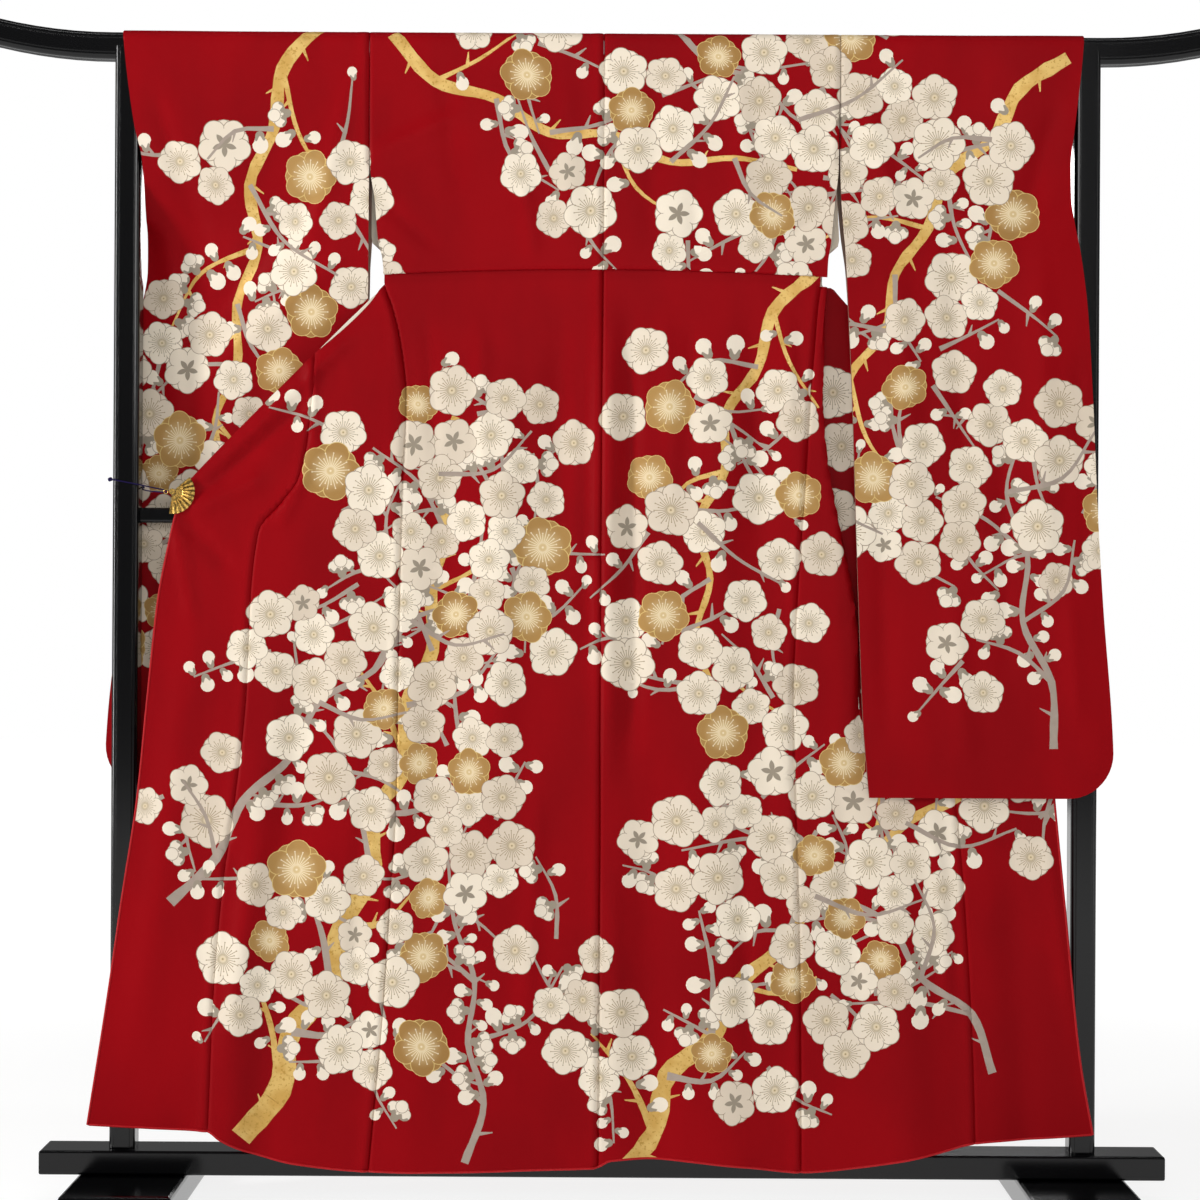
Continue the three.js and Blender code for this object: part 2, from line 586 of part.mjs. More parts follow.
// The over-collar: a band round the back of the neck and down both chests, folded over the rod's back.
function overCollarGrid() {
  const low = LEFT_CHEST[COLLAR_FROM].inner[2] + SEAM;
  const top = FALL - (NECK_ROUND - OVER);
  const reaches = [1.5 * SEAM, 5, ...steps(HANG - CORNER, OVER, 4), 40, COLLAR_WIDE];
  const leg = (way, table) => {
    const sewn = table.slice(0, COLLAR_FROM + 1).map(({ inner: [x, depth, height] }) => ({ x, depth, height }));
    const start = { x: CENTRE + way * NECK_HALF, depth: HANG, height: top };
    const rows = [start, ...sewn.slice(0, COLLAR_FROM), { ...sewn[COLLAR_FROM], height: low }];
    return rows.map(({ x, depth, height }) =>
      reaches.map((reach) => new THREE.Vector3(x - way * reach, depth, height)),
    );
  };
  const corner = (way) =>
    NECK_TURNS.slice(1, -1).map((turn) =>
      reaches.map((reach) => {
        const radius = NECK_ROUND - reach;
        return onRod(neckHub(way) + way * radius * Math.cos(turn), NECK_ROUND - radius * Math.sin(turn));
      }),
    );
  const across = steps(neckHub(-1), neckHub(1), 3).map((x) => reaches.map((reach) => onRod(x, reach)));
  return [
    ...leg(-1, LEFT_CHEST).reverse(),
    ...corner(-1).reverse(),
    ...across,
    ...corner(1),
    ...leg(1, RIGHT_CHEST),
  ];
}

const flip = (grid) => grid.map((row) => [...row].reverse());

// ---- the kimono ------------------------------------------------------------------------------------

add("back_left", wall(flip(backGrid("left"))), silk());
add("back_right", wall(flip(backGrid("right"))), silk());
add("front_left", wall(flip(skirtGrid(steps(0, 1, 8), (u) => mix(1183, SKIRT_TOP, u), leftFrontPlace))), silk());
add("overlap_left", wall(flip(skirtGrid(steps(0, 1, 6), (u) => mix(989, 1183, u), leftOverlapPlace))), silk());
const pleatColumns = [0, 0.17, ...steps(0.34, 0.44, 4), 0.52, ...steps(0.52, 0.62, 4).slice(1), 0.75, 0.88, 1];
const pleatTop = (u) => mix(SKIRT_TOP, 1220, Math.max(u - PLEAT_AT[3], 0) / (1 - PLEAT_AT[3]));
add("front_right", wall(flip(skirtGrid(pleatColumns, pleatTop, rightFrontPlace))), silk());
add("overlap_right", wall(flip(skirtGrid(steps(0, 1, 6), (u) => mix(1220, 1034, u), rightOverlapPlace))), silk());
add("sleeve_left_near", wall(sleeveGrid(LEFT_SLEEVE, false)), silk());
add("sleeve_left_far", wall(flip(sleeveGrid(LEFT_SLEEVE, true))), silk());
add("sleeve_right_near", wall(flip(sleeveGrid(RIGHT_SLEEVE, false))), silk());
add("sleeve_right_far", wall(sleeveGrid(RIGHT_SLEEVE, true)), silk());
add("chest_left", wall(flip(chestGrid(LEFT_CHEST))), silk());
add("chest_right", wall(chestGrid(RIGHT_CHEST)), silk());
add("collar_left", wall(flip(collarGrid(LEFT_CHEST))), silk());
add("collar_right", wall(collarGrid(RIGHT_CHEST)), silk());
add("over_collar", wall(overCollarGrid()), silk());

// ---- the stand -------------------------------------------------------------------------------------

// A section with a raised flat band between two quarter rounds on each of its broad sides.
function moulded(wide, deep, round, lip) {
  const shape = new THREE.Shape();
  const [x, y] = [wide / 2, deep / 2];
  shape.moveTo(-x + round + lip, -y);
  shape.lineTo(x - round - lip, -y);
  shape.lineTo(x - round - lip, -y + lip);
  shape.absarc(x - round, -y + lip + round, round, -Math.PI / 2, 0, false);
  shape.absarc(x - round, y - lip - round, round, 0, Math.PI / 2, false);
  shape.lineTo(x - round - lip, y - lip);
  shape.lineTo(x - round - lip, y);
  shape.lineTo(-x + round + lip, y);
  shape.lineTo(-x + round + lip, y - lip);
  shape.absarc(-x + round, y - lip - round, round, Math.PI / 2, Math.PI, false);
  shape.absarc(-x + round, -y + lip + round, round, Math.PI, 1.5 * Math.PI, false);
  shape.lineTo(-x + round + lip, -y + lip);
  shape.closePath();
  return shape;
}

const wasm = await Module();
wasm.setup();

function solid(geometry) {
  const plain = geometry.clone();
  plain.deleteAttribute("normal");
  plain.deleteAttribute("uv");
  const merged = mergeVertices(plain, 1e-4);
  const vertProperties = new Float32Array(merged.attributes.position.array);
  const triVerts = new Uint32Array(merged.index.array);
  return new wasm.Manifold(new wasm.Mesh({ numProp: 3, vertProperties, triVerts }));
}

function surface(manifold) {
  const { vertProperties, triVerts } = manifold.getMesh();
  const geometry = new THREE.BufferGeometry();
  geometry.setAttribute("position", new THREE.BufferAttribute(vertProperties, 3));
  geometry.setIndex(new THREE.BufferAttribute(triVerts, 1));
  geometry.computeVertexNormals();
  return geometry;
}

// The top rod, straight between the posts and turned up towards its ends: a short prism, drawn out.
const ROD_BENDS = 7; // steps in each upturned end
const rod = new THREE.ExtrudeGeometry(moulded(ROD_SIZE, ROD_SIZE, 8, 1.2), {
  depth: 2 * ROD_BENDS + 2,
  steps: 2 * ROD_BENDS + 2,
  bevelEnabled: false,
  curveSegments: 3,
});
rod.translate(0, 0, -ROD_BENDS - 1).rotateY(Math.PI / 2);
const rodPoints = rod.attributes.position;
for (let i = 0; i < rodPoints.count; i += 1) {
  const place = rodPoints.getX(i);
  const bend = Math.max((Math.abs(place) - 1) / ROD_BENDS, 0);
  const reach = bend > 0 ? mix(ROD_STRAIGHT, ROD_REACH, bend) : ROD_STRAIGHT * Math.abs(place);
  rodPoints.setX(i, Math.sign(place) * reach);
  rodPoints.setZ(i, rodPoints.getZ(i) + ROD_AXIS + ROD_RISE * bend ** 2);
}
add("top_rod", rod, lacquer());

// Each post stands on the rail, and its forked top takes the lower half of the rod.
for (const [name, x] of [["post_left", -POST_AT], ["post_right", POST_AT]]) {
  const length = ROD_AXIS - 1 - RAIL_TOP - GAP;
  const shaft = new THREE.ExtrudeGeometry(moulded(POST_WIDE, POST_DEEP, 6, 1.2), {
    depth: length,
    bevelEnabled: false,
    curveSegments: 4,
  }).translate(0, 0, RAIL_TOP + GAP);
  const slotWide = ROD_SIZE + 2 * GAP;
  const slot = new THREE.BoxGeometry(3 * POST_WIDE, slotWide, ROD_SIZE).translate(0, 0, ROD_AXIS - GAP);
  add(name, surface(solid(shaft).subtract(solid(slot))), lacquer()).position.x = x;
}

const barLength = 2 * POST_AT - POST_WIDE - 2 * GAP;
const barSection = moulded(BAR_DEEP, BAR_HIGH, 3, 0.8);
const bar = new THREE.ExtrudeGeometry(barSection, { depth: barLength, bevelEnabled: false, curveSegments: 3 });
bar.translate(0, 0, -barLength / 2).rotateX(Math.PI / 2).rotateZ(Math.PI / 2);
add("cross_bar", bar, lacquer()).position.z = BAR_AXIS;

// The rail lies across the two feet. Both have chamfered edges.
function block(long, deep, bottom, top, chamfer) {
  const [x, y] = [long / 2 - chamfer, deep / 2 - chamfer];
  const shape = new THREE.Shape([
    new THREE.Vector2(-x, -y),
    new THREE.Vector2(x, -y),
    new THREE.Vector2(x, y),
    new THREE.Vector2(-x, y),
  ]);
  const depth = top - bottom - 2 * chamfer;
  const bevel = { bevelEnabled: true, bevelThickness: chamfer, bevelSize: chamfer, bevelSegments: 2 };
  return new THREE.ExtrudeGeometry(shape, { depth, ...bevel }).translate(0, 0, bottom + chamfer);
}
add("base_rail", block(RAIL_LONG, RAIL_DEEP, RAIL_BOTTOM + GAP, RAIL_TOP, 3), lacquer());
for (const [name, x] of [["foot_left", -FOOT_AT], ["foot_right", FOOT_AT]])
  add(name, block(FOOT_WIDE, FOOT_LONG, 0, RAIL_BOTTOM, 5), lacquer()).position.x = x;

// ---- the clip and its cord ---------------------------------------------------------------------------

const [clipX, clipZ] = CLIP_AT;
const clipDegrees = THREE.MathUtils.DEG2RAD;

// A pleated fan of thin metal in front of the cloth's corner.
function fanGrid() {
  return [5, 13.6, 15, CLIP_REACH].map((radius, ring) =>
    steps(CLIP_TO, CLIP_FROM, 2 * CLIP_RIBS).map((degrees, i) => {
      const pleat = ring < 2 ? 0 : 0.7 * (i % 2 === 0 ? -1 : 1);
      const angle = degrees * clipDegrees;
      return new THREE.Vector3(clipX + radius * Math.cos(angle), -38.4 + pleat, clipZ + radius * Math.sin(angle));
    }),
  );
}
add("clip_fan", wall(flip(fanGrid()), 1.2), gilt());

// The jaw behind the cloth is a plain sector, and a pin through both carries the ring.
function jawGrid() {
  return [5, 14, 24].map((radius) =>
    steps(CLIP_TO + 12, CLIP_FROM - 12, 8).map((degrees) => {
      const angle = degrees * clipDegrees;
      return new THREE.Vector3(clipX + radius * Math.cos(angle), -25, clipZ + radius * Math.sin(angle));
    }),
  );
}
add("clip_jaw", wall(flip(jawGrid()), 1.2), gilt());
const pin = new THREE.CylinderGeometry(4.4, 4.4, 17, 16);
add("clip_pin", pin, gilt()).position.set(clipX, -32.4, clipZ);
const ring = new THREE.TorusGeometry(2.9, 0.7, 8, 18).rotateX(Math.PI / 2);
add("clip_ring", ring, gilt()).position.set(clipX - 4.4 - 0.4 - 3.6, -42.2, clipZ);

const cordCurve = new THREE.CatmullRomCurve3(CORD_ROUTE.map((point) => new THREE.Vector3(...point)));
const cordSection = new THREE.Shape();
cordSection.absarc(0, 0, CORD_WIDE / 2, 0, 2 * Math.PI, false);
add(
  "clip_cord",
  new THREE.ExtrudeGeometry(cordSection, { steps: 60, curveSegments: 4, extrudePath: cordCurve }),
  braid(),
);

export default part;
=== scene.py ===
"""A crimson furisode with plum blossom, hung over a black lacquered kimono stand.

Lengths are in millimetres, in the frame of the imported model, until a mesh is made in metres.
"""
import math
import random

import bpy
import numpy as np
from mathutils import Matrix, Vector
from mathutils.geometry import delaunay_2d_cdt


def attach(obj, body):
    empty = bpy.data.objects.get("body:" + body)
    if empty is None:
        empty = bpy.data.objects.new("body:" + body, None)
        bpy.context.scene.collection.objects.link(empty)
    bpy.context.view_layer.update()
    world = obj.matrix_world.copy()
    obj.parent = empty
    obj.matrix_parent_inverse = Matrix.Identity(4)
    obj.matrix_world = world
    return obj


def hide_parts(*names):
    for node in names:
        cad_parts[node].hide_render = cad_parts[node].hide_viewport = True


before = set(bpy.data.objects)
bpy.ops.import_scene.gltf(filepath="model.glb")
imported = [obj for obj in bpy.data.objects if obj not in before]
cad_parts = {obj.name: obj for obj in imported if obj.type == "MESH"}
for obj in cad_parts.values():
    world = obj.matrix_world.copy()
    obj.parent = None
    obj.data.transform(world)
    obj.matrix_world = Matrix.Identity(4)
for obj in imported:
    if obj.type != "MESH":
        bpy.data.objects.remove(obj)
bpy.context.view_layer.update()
MM = 0.001

# ---- the camera -----------------------------------------------------------------------------------

VIEW_DISTANCE = 4.2
VIEW_WIDTH = 1.668  # what the frame takes in at the cloth
VIEW_TILT = -0.33
CLOTH_PLANE = -0.03

camera = bpy.data.objects.new("camera", bpy.data.cameras.new("camera"))
bpy.context.scene.collection.objects.link(camera)
camera.data.lens = camera.data.sensor_width * VIEW_DISTANCE / VIEW_WIDTH
camera.location = (-0.007, CLOTH_PLANE - VIEW_DISTANCE, 0.842)
camera.rotation_euler = (math.radians(90), math.radians(VIEW_TILT), 0)
bpy.context.scene.camera = camera
bpy.context.scene.view_settings.view_transform = "Standard"

# ---- sizes and tables shared with the solids --------------------------------------------------------

SEAM = 0.3
CLOTH = 1.8
THIN = 1.3  # thickness of the silk as it is drawn, with its lining
ROD_AXIS = 1612
HANG = 20.6
CORNER = 11
RIDGE = ROD_AXIS + HANG
FALL = RIDGE - CORNER
OVER = HANG - CORNER + math.pi / 2 * CORNER
TOP = FALL + OVER  # a height along the cloth: above FALL it is a length that goes over the rod
OVER_ROWS = [FALL + rise for rise in (1, 3.5, 6, 8.5, 11, 13.5, 16, 19)]
TUCK_HEIGHT = 1304
TUCK_SAG = 9
TUCK_DEEP = 28
TUCK_TURN = 1.6
SKIRT_TOP = 1280
LEFT_SEAM_TOP, LEFT_FREE_TOP = 1183, 989  # where the drawn-out upper edge meets each edge of the overlap
RIGHT_SEAM_TOP, RIGHT_FREE_TOP = 1220.0, 1034.0
CENTRE = -6
SLEEVE_END = 571
SLEEVE_ROUND = 66
SLIT_COVER = 2.2
OPENING_END = 1403
ARMHOLE_END = 1447  # the lowest point where sleeve and body are sewn together
COLLAR_WIDE = 55
NECK_ROUND = 58
NECK_HALF = 101
COLLAR_FROM = 4
PLEAT_TURN = 4
PLEAT_BACK = 22
PLEAT_AT = [0, 0.34, 0.44, 0.52, 0.62, 1]

# Height, then the left and the right edge.
BACK_EDGES = [(1634, -333, 324), (1447, -331, 322), (1398, -324, 317), (1336, -318, 311), (1318, -313, 308),
              (1300, -311, 307)]
SIDE_SEAMS = [(1335, -309, 300), (1281, -310, 297), (1250, -300, 293), (1200, -288, 289), (1120, -279, 283),
              (981, -284, 275), (842, -286, 266), (703, -288, 261), (564, -289, 265), (425, -296, 270),
              (286, -304, 273), (45, -324, 275)]
# Height, the seam to the overlap panel, its free edge.
LEFT_FRONT = [(1281, -406, -591), (1190, -406, -591), (1120, -409, -591), (1050, -417, -591), (1005, -428, -592),
              (975, -450, -594), (936, -482, -602), (842, -493, -620), (703, -498, -634), (564, -512, -647),
              (425, -530, -667), (286, -540, -686), (100, -546, -714)]
# Height, the pleat's front edge, how far it is closed, the seam to the overlap panel, its free edge.
RIGHT_FRONT = [(1283, 307, 1, 352, 560), (1200, 303, 1, 376, 560), (1120, 302, 1, 386, 560), (1051, 307, 1, 394, 562),
               (954, 324, 1, 408, 582), (842, 347, 1, 430, 598), (759, 357, 0.8, 452, 606), (660, 362, 0.25, 472, 616),
               (564, 360, 0, 487, 625), (425, 355, 0, 500, 639), (217, 355, 0, 512, 660), (90, 355, 0, 516, 682)]
HEM_LEVEL = 60.0  # where a panel's edges are read for its hem
# Across, height.
HEM = [(-714, 112), (-630, 108), (-546, 104), (-528, 92), (-493, 76), (-424, 59), (-324, 50), (-215, 49), (-90, 53),
       (-10, 56), (12, 66), (62, 69), (200, 59), (275, 52), (355, 59), (412, 68), (466, 80), (516, 93), (590, 99),
       (682, 106)]
# Height, depth.
SKIRT_DEPTH = [(1335, -20.6), (1300, -21), (1200, -26.5), (1000, -33), (842, -36), (564, -40), (300, -45), (45, -50)]
YOKE_DEPTH = [(RIDGE, -HANG), (1600, -HANG), (1500, -22), (1400, -25), (1300, -27.2)]
# Across, drift, top, bottom, half width, how far out.
FOLDS = [(6, 0.0, 1290, 520, 15, 3.5), (32, 0.01, 1290, 560, 17, -5.5), (150, 0.02, 1250, 620, 34, 4),
         (204, 0.03, 1290, 860, 22, -4.5), (-62, -0.01, 1290, 860, 20, -3.5), (-134, -0.03, 1190, 520, 30, 4.5),
         (-215, -0.05, 1100, 300, 26, -3.5), (58, 0.02, 640, -200, 30, -4.5), (132, 0.05, 760, -200, 48, 4.5),
         (-260, -0.02, 620, -200, 40, 3.5), (-400, -0.09, 900, -200, 34, -4), (-455, -0.1, 760, -200, 30, 3.5),
         (-560, -0.13, 860, 160, 26, 3), (400, 0.06, 560, -200, 36, 4), (560, 0.06, 560, -200, 26, -3)]
# Height, inner edge, outer edge, then the near layer's depth along both, and the far layer's.
LEFT_SLEEVE = [(1634, -333, -676, -20.6, -24.8, 20.6, 24.8), (1585, -333, -671, -20.6, -26, 20.6, 26),
               (1500, -332.6, -659, -20.6, -26, 20.8, 26), (1450, -332, -648, -20.4, -24, 21, 26.5),
               (1403, -332.4, -646, -19, -9, 22, 28), (1357, -332.6, -646, -17, 10, 23, 31),
               (1300, -333, -647, -12, 24.5, 24, 34), (1250, -334, -655, -6, 27, 25, 35),
               (1121, -338, -668, 9, 27, 28, 35), (981, -343, -675, 22, 27, 33, 35), (842, -350, -683, 26, 27, 34, 35),
               (676, -358, -700, 27, 27, 35, 35), (571, -366, -706, 27, 27, 35, 35)]
RIGHT_SLEEVE = [(1634, 324, 663, -20.6, -24.8, 20.6, 24.8), (1585, 324, 659, -20.6, -26, 20.6, 26),
                (1500, 324, 649.5, -21, -27, 21, 26), (1450, 324, 644, -22, -28, 21, 12),
                (1403, 325.5, 644.5, -25, -31, 14, -14), (1370, 327.5, 649, -28, -35, 7, -27.5),
                (1329, 331, 657, -33, -39, -4, -33), (1246, 335, 667, -42, -44, -32, -38.5),
                (1121, 340.5, 674, -50, -50, -42, -43), (981, 345, 680, -55, -54, -47, -47),
                (842, 350, 688, -58, -58, -50, -50), (676, 357, 701, -61, -61, -53, -53),
                (571, 366, 706, -62, -62, -54, -54)]
# A line across each front's upper length: a point on its outer edge and one on its collar seam.
LEFT_CHEST = [((-332.4, 20.6, 1562), (-107.4, 20.6, 1562)), ((-331.6, 21, 1500), (-109, 20.6, 1490)),
              ((-331, 20, 1447), (-111, 20, 1430)), ((-331, 17, 1385), (-116, 18, 1370)),
              ((-330.6, 13, 1345), (-122, 16, 1325)), ((-312, 6, 1325), (-130, 13, 1295)),
              ((-306, -6, 1302), (-145, 9, 1265)), ((-308, -15.5, 1283), (-170, 5, 1232)),
              ((-330, -19.5, 1259), (-215, -1, 1190)), ((-372, -22.5, 1217), (-280, -9, 1135)),
              ((-440, -25.5, 1147), (-370, -17, 1075)), ((-510, -27.5, 1073), (-465, -23, 1020)),
              ((-572, -29.2, 1006), (-556, -26.5, 984))]
RIGHT_CHEST = [((323.4, 20.6, 1562), (95.4, 20.6, 1562)), ((323.2, 21, 1500), (97, 20.6, 1490)),
               ((323, 20, 1447), (99, 20, 1430)), ((324.5, 17, 1385), (104, 18, 1370)),
               ((326, 14, 1345), (110, 16, 1325)), ((308.5, 10, 1325), (118, 13, 1295)),
               ((302, 1, 1302), (133, 9, 1265)), ((301, -1.5, 1287), (158, 5, 1232)),
               ((322, -3, 1259), (203, 0, 1190)), ((362, -6, 1217), (268, -1, 1135)),
               ((425, -8.5, 1152), (352, -4, 1085)), ((500, -11, 1082), (455, -8, 1040)),
               ((552, -12.5, 1040), (541, -11, 1016))]

# ---- the pattern's layout ---------------------------------------------------------------------------

GOLD, GREY = "gold", "grey"
# Boughs: their kind, where each springs from, across and height, the way it heads in degrees, how far it
# bends on its way, its length, and its width at the root. They rise from the hems, come in at the side
# edges, or hang from the waist and the shoulders.
SKIRT_BOUGHS = [
    (GOLD, -500, 96, 58, 30, 1080, 32),
    (GOLD, 20, 40, 72, -46, 900, 28),
    (GOLD, 290, 1300, 238, 34, 640, 18),
    (GREY, -600, 420, 64, -30, 700, 14),
    (GREY, 540, 190, 118, 26, 520, 12),
    (GREY, -190, 62, 74, 34, 430, 11),
]
UPPER_BOUGHS = [
    (GOLD, -400, 1645, 248, 20, 760, 20),
    (GREY, -360, 640, 118, 22, 420, 11),
    (GOLD, -300, 1630, 322, 36, 620, 18),
    (GREY, 90, 1645, 318, 20, 300, 9),
    (GOLD, 640, 1600, 226, 34, 800, 20),
    (GREY, 620, 640, 108, -16, 460, 11),
]
KNOT_STEP = 84  # from one knot of a bough to the next
KINK = 15  # how far it turns at each, in degrees, this way and that
BOUGH_TIP = 0.34  # a bough's width at its tip, as a share of that at its root
SHOOT_SPREAD = (38, 62)  # degrees between a bough and its side shoots
SHOOT_LENGTH = (105, 185)
SHOOT_BEND = 20  # degrees, back towards the way the bough runs
SHOOT_SHARE, SHOOT_LEAST, SHOOT_TIP = 0.42, 7, 3  # width at the root, of the bough's there, and at the tip
CLUSTER_HALF = (56, 82)  # half a cluster of blossom, across and in height
CLUSTER_COUNTS = (3, 4, 4, 5)

# ---- curves -----------------------------------------------------------------------------------------


def curve(rows, column=1):
    """A column of a table as a smooth function of its first column, without overshoot."""
    rows = sorted(rows)
    key = np.array([row[0] for row in rows], float)
    value = np.array([row[column] for row in rows], float)
    slope = np.diff(value) / np.diff(key)
    tangent = np.concatenate(([slope[0]], np.zeros(len(rows) - 2), [slope[-1]]))
    product = slope[:-1] * slope[1:]
    rising = product > 0
    tangent[1:-1][rising] = 2 * product[rising] / (slope[:-1] + slope[1:])[rising]

    def at(place):
        place = np.clip(np.asarray(place, float), key[0], key[-1])
        i = np.clip(np.searchsorted(key, place, "right") - 1, 0, len(key) - 2)
        span = key[i + 1] - key[i]
        t = (place - key[i]) / span
        return (
            value[i] * (1 + 2 * t) * (1 - t) ** 2
            + value[i + 1] * t * t * (3 - 2 * t)
            + span * (tangent[i] * t * (1 - t) ** 2 - tangent[i + 1] * t * t * (1 - t))
        )

    return at


def mix(a, b, t):
    return a + (b - a) * t


def ease(x, low, high):
    t = np.clip((x - low) / (high - low), 0, 1)
    return t * t * (3 - 2 * t)


# ---- the cloth's form -------------------------------------------------------------------------------
# Each panel has its own flat plane, across and up, in which its pattern is laid out. place() turns a
# point of that plane into a point in space.

hem = curve(HEM)
hang = curve(SKIRT_DEPTH)
yoke = curve(YOKE_DEPTH)

# Narrow creases: from x z to x z, half width, how far out.
CREASES = [
    (-580, 985, -330, 1232, 9, 2.2), (-578, 975, -395, 1130, 12, -2.0), (-584, 962, -470, 1010, 13, 2.0),
    (-588, 955, -520, 880, 11, -1.8), (-596, 950, -570, 800, 10, 1.6), (-410, 1180, -404, 1040, 8, 1.6),
    (-404, 1040, -455, 940, 9, 1.8), (-300, 1240, -296, 900, 9, 1.2), (-250, 1250, -236, 1020, 10, -1.4),
    (-175, 1240, -168, 980, 9, 1.2), (80, 1260, 96, 940, 12, 1.3), (118, 1240, 120, 1020, 9, -1.2),
    (250, 1250, 262, 1000, 11, 1.4), (235, 820, 250, 500, 12, 1.5), (-30, 1240, -26, 700, 8, -1.2),
    (-90, 620, -110, 200, 14, 1.6), (-330, 620, -350, 250, 12, -1.4), (-480, 520, -520, 200, 13, 1.5),
    (330, 600, 352, 240, 13, -1.4), (455, 560, 480, 260, 11, 1.5), (610, 540, 650, 240, 10, 1.2),
    (10, 480, 20, 160, 12, 1.4), (190, 540, 205, 180, 12, -1.3),
]
YOKE_CREASES = [
    (-326, 1462, -200, 1520, 11, 1.5), (-318, 1400, -236, 1330, 10, -1.3), (315, 1450, 220, 1516, 11, 1.5),
    (306, 1392, 236, 1330, 10, -1.3), (-60, 1590, -48, 1330, 15, 1.2), (70, 1600, 60, 1330, 16, -1.2),
    (-230, 1600, -210, 1400, 14, -1.2), (180, 1600, 196, 1350, 14, 1.3), (-120, 1430, -100, 1310, 11, 1.3),
    (120, 1420, 128, 1308, 11, -1.3),
]
SLEEVE_CREASES = [
    (-350, 1590, -420, 1300, 13, 1.5), (-390, 1420, -560, 1240, 15, -2.0), (-360, 1330, -590, 1130, 16, 2.0),
    (-640, 1560, -560, 1330, 14, -1.6), (-620, 1400, -600, 1050, 14, 1.6), (-480, 1200, -520, 800, 18, -1.6),
    (350, 1560, 420, 1330, 14, 1.5), (630, 1540, 560, 1320, 15, -1.6), (400, 1330, 430, 900, 18, 1.8),
    (470, 1420, 500, 1000, 16, -1.6), (600, 1360, 610, 820, 18, 1.8), (545, 1180, 560, 700, 16, -1.6),
    (655, 1240, 670, 860, 12, -1.4), (380, 1000, 392, 640, 14, -1.4), (480, 860, 500, 600, 16, 1.5),
    (640, 860, 655, 660, 12, 1.4),
]


FOLD_GAIN, CREASE_GAIN = 1.7, 2.5  # how much deeper they are drawn than their tables say


def folds(across, height):
    """How far out the broad soft folds lift the cloth."""
    out = 0
    for middle, drift, top, bottom, half, reach in FOLDS:
        away = (across - middle - drift * (top - height)) / half
        out = out + reach * np.exp(-away * away) * ease(np.minimum(top - height, height - bottom), 0, 180)
    return FOLD_GAIN * out


def creases(lines, across, height):
    """How far out the narrow creases of a table lift the cloth."""
    out = 0
    for x0, z0, x1, z1, half, reach in lines:
        length = math.hypot(x1 - x0, z1 - z0)
        along = ((across - x0) * (x1 - x0) + (height - z0) * (z1 - z0)) / length
        away = ((across - x0) * (z1 - z0) - (height - z0) * (x1 - x0)) / length / half
        ends = np.minimum(along + half, length - along + half)
        out = out + CREASE_GAIN * reach * np.exp(-away * away) * ease(ends, 0, 0.3 * length)
    return out


def skirt_depth(across, height):
    return hang(height) - folds(across, height) - creases(CREASES, across, height)


DIP_DEEP, DIP_HALF = 3.6, 2.0
PROUD_SHARE, PROUD_AWAY, PROUD_HALF = 0.6, 7.5, 5.5


def groove(distance, deep=0.9):
    """How far cloth dips at a seam, with the fold that stands proud along its left."""
    dip = np.exp(-((distance / DIP_HALF) ** 2))
    proud = np.exp(-(((distance + PROUD_AWAY) / PROUD_HALF) ** 2))
    return DIP_DEEP * deep * (dip - PROUD_SHARE * proud)


def over_rod(height):
    """How far from the rod's axis the cloth lies, and how high, at a height along the cloth."""
    length = TOP - height
    flat = HANG - CORNER
    turn = np.clip((length - flat) / CORNER, 0, math.pi / 2)
    away = np.where(length <= flat, length, flat + CORNER * np.sin(turn))
    rise = np.where(length <= flat, RIDGE, FALL + CORNER * np.cos(turn))
    return away, np.where(length > OVER, height, rise)


class Panel:
    """A stretch of cloth between two edges, given at each height, and a top and a bottom."""

    def __init__(self, left, right, top, bottom, place, rows=(), step=9.0):
        self.left, self.right, self.top, self.bottom = left, right, top, bottom
        self.place = place
        self.rows = rows  # further heights where the form turns sharply
        self.step = step

    def flat(self, u, v):
        """A point of the plane, u from the left edge to the right, v from the top to the bottom."""
        height = mix(self.top(u), self.bottom(u), v)
        return mix(self.left(height) + 0.03, self.right(height) - 0.03, u), height

    def share(self, x, height):
        left = self.left(height)
        return (x - left) / (self.right(height) - left)

    def spatial(self, x, height):
        return np.stack(self.place(np.clip(self.share(x, height), -0.01, 1.01), x, height), axis=-1)


def cloth_top(u):
    """The height of a panel's upper edge, on top of the rod."""
    return TOP - 0.05 + 0 * u


def hem_below(left, right):
    """The height of a panel's lower edge, from its two edges across."""
    return lambda u: hem(mix(left(HEM_LEVEL), right(HEM_LEVEL), u))


def tuck_height(across):
    return TUCK_HEIGHT - TUCK_SAG * ((across - CENTRE) / 310) ** 2


TUCK_FLAT = math.pi * TUCK_TURN  # cloth in one of the tuck's folds


